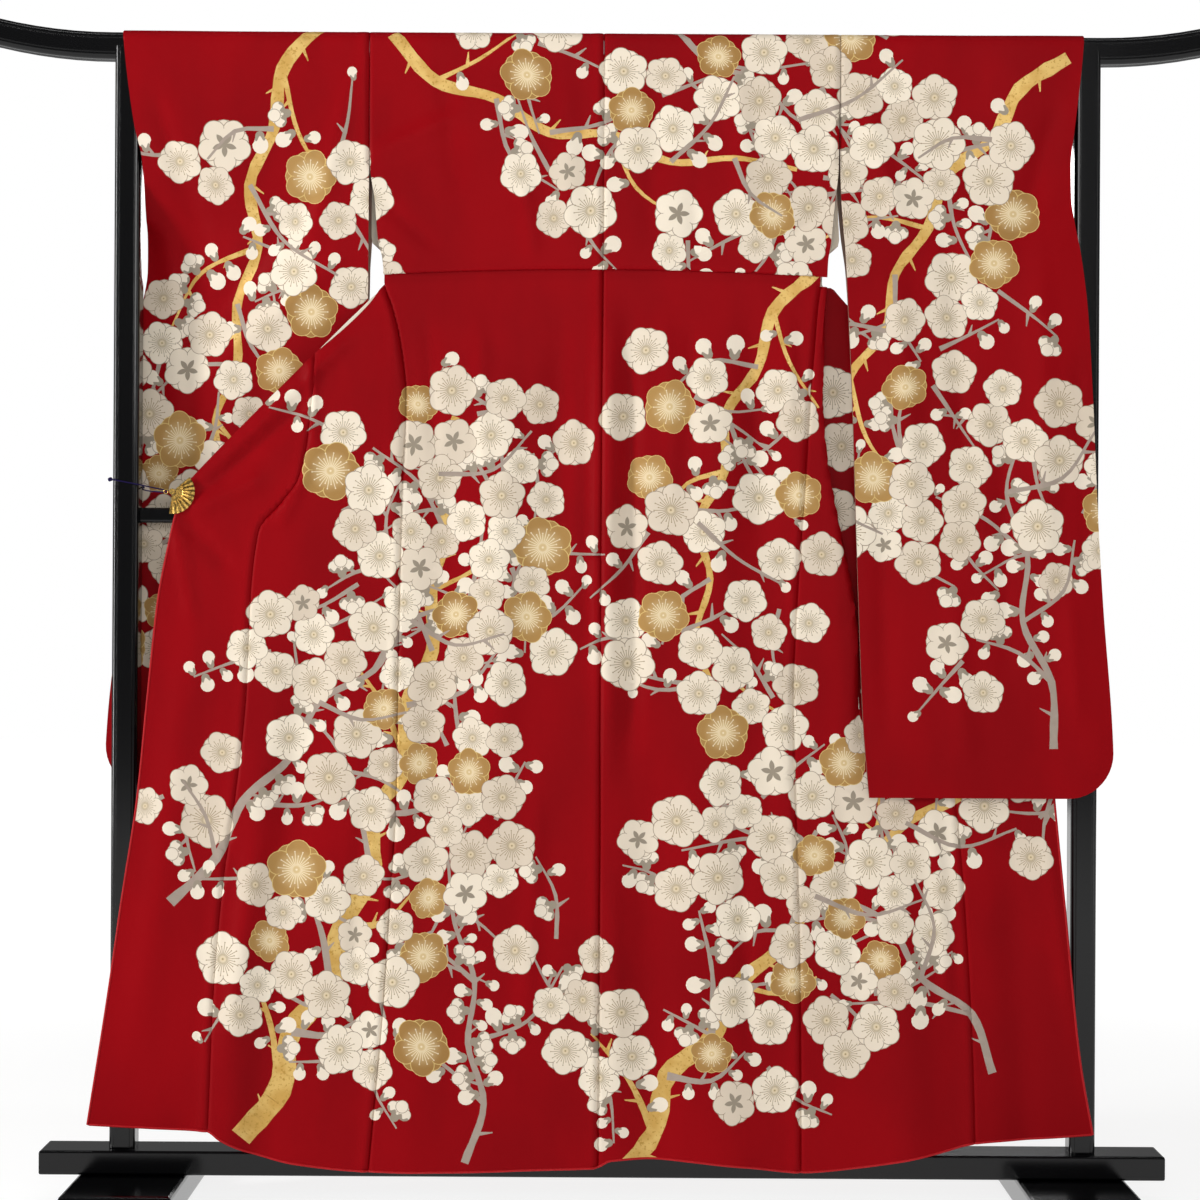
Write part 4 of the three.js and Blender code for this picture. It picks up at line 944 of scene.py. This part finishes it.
def silk_piece(name, parts, turn=1, rolls=()):
    """One object of thin cloth from (panel, motifs) parts, patterned outside and lined inside."""
    vertices, faces, kinds, tones, flower_uv = [], [], [], [], []
    for panel, motifs in parts:
        flat, cut, top, used = triangles(panel, motifs)
        spots = panel.spatial(flat[:, 0], flat[:, 1])
        normal = normals_of(panel, flat, turn)
        if turn < 0:
            cut = cut[:, ::-1]
        start = sum(len(v) for v in vertices)
        count = len(flat)
        vertices += [spots + normal * THIN / 2, spots - normal * THIN / 2]
        pairs = np.concatenate([cut[:, [0, 1]], cut[:, [1, 2]], cut[:, [2, 0]]])
        backwards = {(b, a) for a, b in pairs.tolist()}
        rim = np.array([pair for pair in pairs.tolist() if tuple(pair) not in backwards])
        a, b = rim[:, 0], rim[:, 1]
        sides = np.concatenate([np.stack([b, a, a + count], 1), np.stack([b, a + count, b + count], 1)])
        faces.append(np.concatenate([cut, cut[:, ::-1] + count, sides]) + start)
        kind = np.array([used[t].kind if t else GROUND for t in top])
        tone = np.array([used[t].tone if t else 0.5 for t in top])
        kinds.append(np.concatenate([kind, np.full(len(cut), LINING), np.full(len(sides), GROUND)]))
        tones.append(np.concatenate([tone, np.full(len(cut) + len(sides), 0.5)]))
        centre = np.array([used[t].centre if t else (0, 0) for t in top])
        unframe = np.array([used[t].unframe if t else np.eye(2) / 1000 for t in top])
        local = np.einsum("fij,fjk->fik", flat[cut] - centre[:, None, :], unframe)
        flower_uv += [local.reshape(-1, 2), np.zeros((3 * (len(cut) + len(sides)), 2))]
    for panel, side in rolls:
        start = sum(len(v) for v in vertices)
        points, cut = roll(panel, side)
        vertices.append(points)
        faces.append(cut + start)
        kinds.append(np.full(len(cut), PIPING))
        tones.append(np.full(len(cut), 0.5))
        flower_uv.append(np.zeros((3 * len(cut), 2)))
    mesh = bpy.data.meshes.new(name)
    vertices, faces = np.concatenate(vertices) * MM, np.concatenate(faces)
    mesh.vertices.add(len(vertices))
    mesh.vertices.foreach_set("co", vertices.ravel())
    mesh.loops.add(3 * len(faces))
    mesh.loops.foreach_set("vertex_index", faces.ravel())
    mesh.polygons.add(len(faces))
    mesh.polygons.foreach_set("loop_start", np.arange(0, 3 * len(faces), 3))
    mesh.polygons.foreach_set("material_index", np.concatenate(kinds))
    mesh.uv_layers.new(name="flower").data.foreach_set("uv", np.concatenate(flower_uv).ravel())
    mesh.attributes.new("tone", "FLOAT", "FACE").data.foreach_set("value", np.concatenate(tones))
    mesh.update(calc_edges=True)
    mesh.validate()
    mesh.shade_smooth()
    mesh.set_sharp_from_angle(angle=math.radians(48))
    piece = bpy.data.objects.new(name, mesh)
    bpy.context.scene.collection.objects.link(piece)
    return piece


# ---- materials --------------------------------------------------------------------------------------


def linear(code):
    """An sRGB hex colour as linear RGBA."""
    values = [int(code[i : i + 2], 16) / 255 for i in (0, 2, 4)]
    return (*((v / 12.92 if v <= 0.04045 else ((v + 0.055) / 1.055) ** 2.4) for v in values), 1)


STAMENS, STAMEN_TURN = 14, 0.1
CRIMSON, OFF_WHITE = "86010A", "E6DCCB"
PETAL_LIGHT, PETAL_DARK, BUD_WHITE = "E2D6C3", "CCBDAA", "DCD0BE"
CALYX_GREY, PETAL_LINE = "8F8474", "857462"


class Tree:
    """A new material's node tree, with short ways to add to it."""

    def __init__(self, name, color, roughness, metallic=0.0, sheen=0.0, gloss=0.5):
        self.material = bpy.data.materials.new(name)
        self.material.use_nodes = True
        self.tree = self.material.node_tree
        self.shader = self.tree.nodes["Principled BSDF"]
        self.shader.inputs["Base Color"].default_value = linear(color)
        self.shader.inputs["Roughness"].default_value = roughness
        self.shader.inputs["Metallic"].default_value = metallic
        self.shader.inputs["Sheen Weight"].default_value = sheen
        self.shader.inputs["Specular IOR Level"].default_value = gloss

    def add(self, kind, inputs=(), **settings):
        """A new node, with each input set to a value or linked from a socket."""
        node = self.tree.nodes.new(kind)
        for key, value in settings.items():
            setattr(node, key, value)
        for socket, value in dict(inputs).items():
            if isinstance(value, bpy.types.NodeSocket):
                self.tree.links.new(value, node.inputs[socket])
            else:
                node.inputs[socket].default_value = value
        return node

    def glow(self, strength):
        """White emission, of a strength that may be linked later."""
        self.shader.inputs["Emission Color"].default_value = (1, 1, 1, 1)
        self.shader.inputs["Emission Strength"].default_value = strength

    def math(self, operation, *values):
        return self.add("ShaderNodeMath", enumerate(values), operation=operation).outputs[0]

    def blend(self, factor, first, second):
        """The first colour where the factor is 0, and the second where it is 1."""
        return self.add("ShaderNodeMix", {0: factor, 6: first, 7: second}, data_type="RGBA").outputs[2]

    def noise(self, scale, detail=3.0, stretch=(1, 1, 1)):
        place = self.add("ShaderNodeTexCoord").outputs["Object"]
        spread = self.add("ShaderNodeMapping", {"Vector": place, "Scale": stretch})
        inputs = {"Vector": spread.outputs[0], "Scale": scale, "Detail": detail}
        return self.add("ShaderNodeTexNoise", inputs).outputs["Fac"]

    def between(self, value, low, high):
        """0 below low, 1 above high."""
        inputs = {"Value": value, "From Min": low, "From Max": high}
        return self.add("ShaderNodeMapRange", inputs, interpolation_type="SMOOTHSTEP").outputs[0]

    def link(self, value, socket):
        self.tree.links.new(value, self.shader.inputs[socket])

    def crepe(self, strength=0.35):
        """The silk's fine crinkle, its thread, and its faint unevenness."""
        grain = self.noise(1500, 2.0)
        thread = self.noise(420, 2.0, (1, 1, 0.12))
        soft = self.noise(13, 3.0, (1, 1, 0.35))
        fine = self.math("MULTIPLY_ADD", thread, 0.6, grain)
        height = self.math("MULTIPLY_ADD", soft, 16.0, fine)
        bump = self.add("ShaderNodeBump", {"Strength": strength, "Distance": 0.00022, "Height": height})
        self.link(bump.outputs[0], "Normal")

    def plane(self):
        """Place, radius and angle in the motif's own frame, from its UV."""
        uv = self.add("ShaderNodeUVMap", uv_map="flower").outputs[0]
        parts = self.add("ShaderNodeSeparateXYZ", {0: uv})
        x, y = parts.outputs[0], parts.outputs[1]
        radius = self.math("SQRT", self.math("ADD", self.math("MULTIPLY", x, x), self.math("MULTIPLY", y, y)))
        return x, y, radius, self.math("ARCTAN2", y, x)

    def sector(self, angle, count, shift=0.0):
        """The angle from the middle of the nearest of count equal sectors."""
        width = 2 * math.pi / count
        turns = self.math("DIVIDE", self.math("SUBTRACT", angle, shift), width)
        near = self.math("SUBTRACT", turns, self.math("ROUND", turns))
        return self.math("MULTIPLY", near, width)

    def any_of(self, *marks):
        total = marks[0]
        for mark in marks[1:]:
            total = self.math("MAXIMUM", total, mark)
        return total

    def stroke(self, distance, half):
        """1 on a line where the distance is near 0."""
        inputs = {"Value": self.math("ABSOLUTE", distance), "From Min": 0.6 * half, "From Max": 1.4 * half,
                  "To Min": 1.0, "To Max": 0.0}
        return self.add("ShaderNodeMapRange", inputs, interpolation_type="SMOOTHSTEP").outputs[0]

    def reach(self, radius, angle, hub):
        """The distance from a petal's centre, at hub along the nearest sector's middle."""
        x = self.math("SUBTRACT", self.math("MULTIPLY", radius, self.math("COSINE", angle)), hub)
        y = self.math("MULTIPLY", radius, self.math("SINE", angle))
        return self.math("SQRT", self.math("ADD", self.math("MULTIPLY", x, x), self.math("MULTIPLY", y, y)))

    def all_of(self, *marks):
        total = marks[0]
        for mark in marks[1:]:
            total = self.math("MULTIPLY", total, mark)
        return total

    def stamens(self, radius, angle, count, shift, reach, wide=0.012):
        """Hairs from the heart of a blossom, each with a dot at its tip."""
        ray = self.math("MULTIPLY", radius, self.math("SINE", self.sector(angle, count, shift)))
        span = self.all_of(self.between(radius, 0.09, 0.17), self.between(radius, reach, reach - 0.02))
        tip = self.math("SUBTRACT", radius, reach)
        dot = self.math("SQRT", self.math("ADD", self.math("MULTIPLY", tip, tip), self.math("MULTIPLY", ray, ray)))
        return self.any_of(self.all_of(self.stroke(ray, wide), span), self.between(dot, 0.03, 0.018))

    def blossom_lines(self, radius, angle, wide=0.014):
        """The drawn lines of a double blossom: its rim and its petals' edges, and its stamens."""
        petal, between = self.sector(angle, 5), self.sector(angle, 5, math.pi / 5)
        outer = self.math("SUBTRACT", self.reach(radius, petal, OUTER_PETAL[0]), OUTER_PETAL[1])
        second = self.math("SUBTRACT", self.reach(radius, between, SECOND_PETAL[0]), SECOND_PETAL[1])
        rim = self.stroke(self.math("ADD", self.math("MINIMUM", outer, second), wide), wide)
        rim = self.all_of(rim, self.between(radius, 0.56, 0.62))
        edge = self.all_of(self.stroke(outer, wide), self.between(radius, 0.52, 0.56))
        parting = self.stroke(self.math("MULTIPLY", radius, self.math("SINE", between)), 0.8 * wide)
        parting = self.all_of(parting, self.between(radius, 0.56, 0.6), self.between(radius, 0.74, 0.7))
        heart = self.between(radius, 0.05, 0.02)
        long = self.stamens(radius, angle, STAMENS, STAMEN_TURN, 0.6)
        short = self.stamens(radius, angle, STAMENS, STAMEN_TURN + math.pi / STAMENS, 0.45)
        return self.any_of(rim, edge, parting), self.any_of(long, short, heart)

    def star(self, radius, angle):
        """The five leaves of a calyx, pointed outwards."""
        off = self.math("DIVIDE", self.math("ABSOLUTE", self.sector(angle, 5)), math.pi / 5)
        out = self.math("POWER", self.math("SUBTRACT", 1.0, off), 0.8)
        reach = self.math("MULTIPLY_ADD", out, 0.36, 0.1)
        return self.between(self.math("SUBTRACT", reach, radius), -0.012, 0.012)


def ground_silk():
    tree = Tree("crimson_silk", CRIMSON, 0.52, sheen=0.01, gloss=0.05)
    tree.shader.inputs["Sheen Roughness"].default_value = 0.35
    tree.shader.inputs["Sheen Tint"].default_value = linear("FF2A1C")
    mottle = tree.noise(9, 3.0, (1, 1, 0.5))
    color = tree.blend(tree.between(mottle, 0.3, 0.7), linear("7E0109"), linear("89010A"))
    tree.link(color, "Base Color")
    tree.crepe()
    return tree.material


def blossom(name, light, dark, centre, line, hair, share, metallic=0.0, rear=False):
    tree = Tree(name, light, 0.6, metallic=metallic, gloss=0.1)
    _, _, radius, angle = tree.plane()
    tone = tree.add("ShaderNodeAttribute", attribute_name="tone").outputs["Fac"]
    base = tree.blend(tone, linear(light), linear(dark))
    base = tree.blend(tree.between(radius, *share), base, linear(centre))
    rims, hairs = tree.blossom_lines(radius, angle)
    base = tree.blend(tree.math("MULTIPLY", rims, 0.85), base, linear(line))
    base = tree.blend(tree.star(radius, angle) if rear else tree.math("MULTIPLY", hairs, 0.8), base, linear(hair))
    tree.link(base, "Base Color")
    tree.crepe(0.25)
    return tree.material


def side_blossom():
    """A blossom seen from its side: three petals over a calyx."""
    tree = Tree("side_blossom", "EDE6D4", 0.55, gloss=0.2)
    x, y, radius, angle = tree.plane()
    reaches = []
    for hub, way, lobe in SIDE_PETALS:
        turned = tree.math("SUBTRACT", angle, way)
        reaches.append(tree.math("SUBTRACT", tree.reach(radius, turned, hub), lobe))
    front, *behind = (tree.stroke(tree.math("ADD", reach, 0.02), 0.022) for reach in reaches)
    lines = tree.any_of(front, *(tree.all_of(line, tree.between(reaches[0], -0.02, 0.0)) for line in behind))
    wave = tree.math("MULTIPLY", tree.math("COSINE", tree.math("MULTIPLY", y, 14.0)), 0.1)
    calyx = tree.between(tree.math("ADD", x, wave), 0.16, 0.12)
    base = tree.blend(tree.math("MULTIPLY", lines, 0.8), linear(BUD_WHITE), linear(PETAL_LINE))
    tree.link(tree.blend(calyx, base, linear(CALYX_GREY)), "Base Color")
    tree.crepe(0.25)
    return tree.material


def bud_silk():
    tree = Tree("white_bud", "EDE6D4", 0.55, gloss=0.2)
    x, y, *_ = tree.plane()
    wave = tree.math("MULTIPLY", tree.math("COSINE", tree.math("MULTIPLY", y, 7.5)), 0.24)
    calyx = tree.between(tree.math("ADD", x, wave), -0.2, -0.28)
    tree.link(tree.blend(calyx, linear(BUD_WHITE), linear(CALYX_GREY)), "Base Color")
    tree.crepe(0.25)
    return tree.material


def gold_branch():
    tree = Tree("gold_leaf", "D2AE5C", 0.42, metallic=0.25, gloss=0.3)
    leaf = tree.noise(260, 4.0)
    patch = tree.noise(38, 2.0)
    base = tree.blend(tree.between(patch, 0.35, 0.65), linear("BC944A"), linear("CCA962"))
    base = tree.blend(tree.between(leaf, 0.55, 0.68), base, linear("A98237"))
    tree.link(base, "Base Color")
    tree.crepe(0.3)
    return tree.material


def grey_branch():
    tree = Tree("grey_branch", "9C8A80", 0.6, gloss=0.2)
    streak = tree.noise(90, 3.0)
    tree.link(tree.blend(streak, linear("8F8175"), linear("A39488")), "Base Color")
    tree.crepe(0.25)
    return tree.material


JOIN_HEIGHT = 0.66  # where the lining's off-white silk meets the crimson


def lining_silk():
    """Off-white silk above and the same crimson below, with a clean join between them."""
    tree = Tree("lining_silk", OFF_WHITE, 0.6, gloss=0.1)
    place = tree.add("ShaderNodeTexCoord").outputs["Object"]
    height = tree.add("ShaderNodeSeparateXYZ", {0: place}).outputs[2]
    above = tree.between(height, JOIN_HEIGHT - 0.001, JOIN_HEIGHT + 0.001)
    color = tree.blend(above, linear(CRIMSON), linear(OFF_WHITE))
    tree.link(color, "Base Color")
    tree.crepe(0.2)
    return tree.material


def painted_shade_sleeve_lining():
    """The off-white lining silk inside the sleeves, painted a darker warm brown-grey as painted shade."""
    tree = Tree("painted_shade_sleeve_lining", "957B6C", 0.6, gloss=0.1)
    tree.crepe(0.2)
    return tree.material


def piping_silk():
    """The padded roll along the hem, a lighter red."""
    tree = Tree("hem_roll_silk", "A00F16", 0.5, gloss=0.15)
    thread = tree.noise(160, 2.0)
    tree.link(tree.blend(thread, linear("980A12"), linear("A9131A")), "Base Color")
    tree.crepe(0.25)
    return tree.material


def lacquer():
    tree = Tree("black_lacquer", "010102", 0.13, gloss=0.36)
    wave = tree.noise(6, 2.0)
    bevel = tree.add("ShaderNodeBevel", {"Radius": 0.0018}, samples=4)
    inputs = {"Strength": 0.08, "Distance": 0.001, "Height": wave, "Normal": bevel.outputs[0]}
    tree.link(tree.add("ShaderNodeBump", inputs).outputs[0], "Normal")
    return tree.material


def gilt_metal():
    tree = Tree("gilt_metal", "C39A4C", 0.26, metallic=1.0)
    wear = tree.noise(300, 3.0)
    tree.link(tree.blend(tree.between(wear, 0.4, 0.7), linear("CDA65A"), linear("7C6430")), "Base Color")
    return tree.material


def braid():
    tree = Tree("indigo_braid", "160C3A", 0.8, gloss=0.1)
    twist = tree.noise(2400, 2.0)
    bump = tree.add("ShaderNodeBump", {"Strength": 0.6, "Distance": 0.0003, "Height": twist})
    tree.link(bump.outputs[0], "Normal")
    return tree.material


# In the order of the motifs' kinds.
SILKS = [
    ground_silk(),
    blossom("white_blossom", PETAL_LIGHT, PETAL_DARK, "CDBB98", PETAL_LINE, "84714F", (0.26, 0.0)),
    blossom("gold_blossom", "A8834D", "96713F", "CBB183", "CFB475", "E8DBBC", (0.78, 0.1), 0.08),
    blossom("rear_blossom", PETAL_LIGHT, PETAL_DARK, "CDBFAC", PETAL_LINE, CALYX_GREY, (0.34, 0.0), rear=True),
    bud_silk(),
    gold_branch(),
    grey_branch(),
    side_blossom(),
    lining_silk(),
    piping_silk(),
]
# The same silks for the sleeves, but with their off-white lining painted darker as painted shade inside the sleeves.
SLEEVE_SILKS_PAINTED_SHADE = [*SILKS[:LINING], painted_shade_sleeve_lining(), *SILKS[LINING + 1 :]]

# ---- the kimono -------------------------------------------------------------------------------------


def shifted(motifs):
    """Motifs of the right front: those past the pleat's edge move on by the cloth that it takes up."""
    return [
        motif.moved(PLEAT_FLAT * float(pleat_closed(motif.centre[1])))
        if motif.centre[0] > float(pleat_edge(motif.centre[1])) - 4
        else motif
        for motif in motifs
    ]


def spray(panel, count, seed):
    width = float(panel.right(np.array(0.0)))
    height = -float(panel.bottom(np.array(0.0)))
    return scattered(width, height, count, seed)


def dress(node, parts, turn, flat, area=None, rolled=None):
    """A piece of thin silk in a solid's place, with a roll along the edges that are named."""
    piece = silk_piece(f"{node}_silk", parts, turn, [(parts[-1][0], rolled)] if rolled else [])
    for material in SLEEVE_SILKS_PAINTED_SHADE if node.startswith("sleeve") else SILKS:
        piece.data.materials.append(material)
    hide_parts(node)
    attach(piece, "root")


for side, area in (("left", 0.515), ("right", 0.505)):
    parts = [(back_upper(side), UPPER), (back_lower(side), SKIRT)]
    dress(f"back_{side}", parts, 1, (0.33, 1.72), area, "bottom")
dress("front_left", [(left_front(), SKIRT)], 1, (0.27, 1.23), 0.235, "bottom")
dress("overlap_left", [(left_overlap(), SKIRT)], 1, (0.31, 1.08), 0.14, "left")
dress("front_right", [(right_front(), shifted(SKIRT))], 1, (0.29, 1.23), 0.25, "bottom")
dress("overlap_right", [(right_overlap(), SKIRT)], 1, (0.31, 1.13), 0.155, "right")
for side, table in (("left", LEFT_SLEEVE), ("right", RIGHT_SLEEVE)):
    dress(f"sleeve_{side}_near", [(sleeve(table, False), UPPER)], 1, (0.36, 1.08), 0.36)
    dress(f"sleeve_{side}_far", [(sleeve(table, True), UPPER)], -1, (0.36, 1.08), 0.36)
for node, panel, count, seed, turn, flat, area in (
    ("chest_left", chest(LEFT_CHEST), 7, 3, -1, (0.27, 0.82), 0.125),
    ("chest_right", chest(RIGHT_CHEST), 7, 8, 1, (0.27, 0.82), 0.125),
    ("collar_left", lower_collar(LEFT_CHEST), 2, 4, -1, (0.056, 0.62), None),
    ("collar_right", lower_collar(RIGHT_CHEST), 2, 6, 1, (0.056, 0.6), None),
    ("over_collar", over_collar(), 2, 9, 1, (0.056, 0.86), None),
):
    dress(node, [(panel, spray(panel, count, seed))], turn, flat, area)

# ---- the stand and the clip -------------------------------------------------------------------------

STAND_NODES = ("top_rod", "post_left", "post_right", "cross_bar", "base_rail", "foot_left", "foot_right")
CLIP_NODES = ("clip_fan", "clip_jaw", "clip_pin", "clip_ring")
for finish, nodes in ((lacquer(), STAND_NODES), (gilt_metal(), CLIP_NODES)):
    for name in nodes:
        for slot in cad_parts[name].material_slots:
            slot.material = finish
cord_finish = braid()

CORD_ROUTE = [
    (-607.8, -35.6, 990.2), (-615, -34, 991.8), (-632, -29.5, 995.2), (-650, -25.8, 999), (-668, -24.8, 1002.4),
    (-684, -24.7, 1005.4), (-688.2, -23.6, 1006.2), (-688.8, -20, 1006.4), (-688.8, -8, 1006.2), (-688.8, 8, 1005.2),
    (-688.8, 19, 1004.2), (-687.8, 23.4, 1003.6), (-683, 24.5, 1003), (-668, 24.5, 1000.6), (-654, 24.4, 998.2),
    (-650.2, 23.2, 997.4), (-649.2, 19, 996.6), (-649, 4, 994.4), (-645, -9, 992.2), (-632, -22, 989.8),
    (-617, -32, 988.4), (-607.8, -36.2, 987.8),
]
CORD_WIDE = 1.8
KNOT_AT = (-691.4, -14, 1006.4)
KNOT_HALF = (3.2, 2.7, 2.9)


def cord_knot():
    """The knot that closes the loop, at the post's outer side."""
    bpy.ops.object.select_all(action="DESELECT")
    bpy.ops.mesh.primitive_uv_sphere_add(segments=20, ring_count=12, radius=1)
    knot = bpy.context.object
    knot.name = "clip_cord_knot"
    for vertex in knot.data.vertices:
        lump = 1 + 0.12 * math.cos(3 * math.atan2(vertex.co.z, vertex.co.y) + 4 * vertex.co.x)
        vertex.co = (Vector(KNOT_AT) + vertex.co * lump * Vector(KNOT_HALF)) * MM
    knot.data.shade_smooth()
    knot.data.materials.append(cord_finish)
    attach(knot, "root")
    return knot


def clip_cord():
    data = bpy.data.curves.new("clip_cord_braid", "CURVE")
    data.dimensions = "3D"
    data.bevel_depth = CORD_WIDE / 2 * MM
    data.bevel_resolution = 3
    spline = data.splines.new("BEZIER")
    spline.bezier_points.add(len(CORD_ROUTE) - 1)
    for point, spot in zip(spline.bezier_points, CORD_ROUTE):
        point.co = Vector(spot) * MM
        point.handle_left_type = point.handle_right_type = "AUTO"
    piece = bpy.data.objects.new("clip_cord_braid", data)
    bpy.context.scene.collection.objects.link(piece)
    data.materials.append(cord_finish)
    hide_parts("clip_cord")
    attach(piece, "root")
    length = sum((Vector(a) - Vector(b)).length for a, b in zip(CORD_ROUTE, CORD_ROUTE[1:])) * MM
    tuple(Vector(CORD_ROUTE[0]) * MM)
    cord_knot()


clip_cord()

# ---- the room and the light -------------------------------------------------------------------------


def disc(name, rows):
    """A surface through rings of (radius, height) round the object."""
    count = 64
    angles = np.linspace(0, 2 * math.pi, count, endpoint=False)
    rings = [[(r * math.cos(a), r * math.sin(a), z) for a in angles] for r, z in rows]
    faces = [tuple(range(count))]
    if len(rows) > 1:
        faces = [(i, (i + 1) % count, count + (i + 1) % count, count + i) for i in range(count)]
    mesh = bpy.data.meshes.new(name)
    mesh.from_pydata(sum(rings, []), [], faces)
    piece = bpy.data.objects.new(name, mesh)
    bpy.context.scene.collection.objects.link(piece)
    return piece


FLOOR_RADIUS, FLOOR_GLOW = 14, 0.82
DRAPE_RADIUS, DRAPE_HEIGHT = 8, 3.6


def room():
    """A wide pale floor, and grey drapes round it that only the gloss and the cloth see."""
    floor = disc("floor", [(FLOOR_RADIUS, 0)])
    tree = Tree("room_white", "8C8C8B", 0.95, gloss=0.0)
    tree.glow(FLOOR_GLOW)
    place = tree.add("ShaderNodeTexCoord").outputs["Object"]
    away = tree.add("ShaderNodeVectorMath", {0: place}, operation="LENGTH").outputs["Value"]
    fade = tree.math("MULTIPLY_ADD", tree.between(away, 1.2, 4.0), 1 - FLOOR_GLOW, FLOOR_GLOW)
    tree.link(fade, "Emission Strength")
    floor.data.materials.append(tree.material)
    drapes = disc("drapes", [(DRAPE_RADIUS, 0.01), (DRAPE_RADIUS, DRAPE_HEIGHT)])
    drapes.visible_camera = False
    tree = Tree("grey_drapes", "000000", 1.0, gloss=0.0)
    tree.glow(0.16)
    drapes.data.materials.append(tree.material)


def light(name, place, aim, size, power):
    data = bpy.data.lights.new(name, "AREA")
    data.shape = "RECTANGLE"
    data.size, data.size_y = size
    data.energy = power
    lamp = bpy.data.objects.new(name, data)
    bpy.context.scene.collection.objects.link(lamp)
    lamp.location = place
    lamp.visible_camera = False
    lamp.rotation_euler = (Vector(aim) - Vector(place)).to_track_quat("-Z", "Y").to_euler()


room()
light("key", (-3.9, -1.7, 1.6), (0, 0, 0.85), (0.6, 2.8), 145)
light("front", (0.2, -5.2, 2.1), (0, 0, 0.85), (1.8, 1.4), 66)
light("fill", (3.4, -2.6, 1.3), (0, 0, 0.8), (0.6, 2.6), 18)
light("top", (0, -1.1, 4.2), (0, 0.1, 0.8), (3.0, 0.3), 26)
light("rear", (0.5, 5.2, 2.3), (0, 0, 0.8), (2.0, 1.4), 55)


def sky():
    """White round the horizon and softer overhead."""
    world = bpy.data.worlds.new("world")
    world.use_nodes = True
    nodes, links = world.node_tree.nodes, world.node_tree.links
    place = nodes.new("ShaderNodeTexCoord")
    split = nodes.new("ShaderNodeSeparateXYZ")
    span = nodes.new("ShaderNodeMapRange")
    span.interpolation_type = "SMOOTHSTEP"
    for socket, value in (("From Min", 0.22), ("From Max", 0.45), ("To Min", 1.0), ("To Max", 0.12)):
        span.inputs[socket].default_value = value
    links.new(place.outputs["Generated"], split.inputs[0])
    links.new(split.outputs[2], span.inputs["Value"])
    links.new(span.outputs[0], nodes["Background"].inputs["Strength"])
    nodes["Background"].inputs["Color"].default_value = (1, 1, 1, 1)
    bpy.context.scene.world = world


sky()
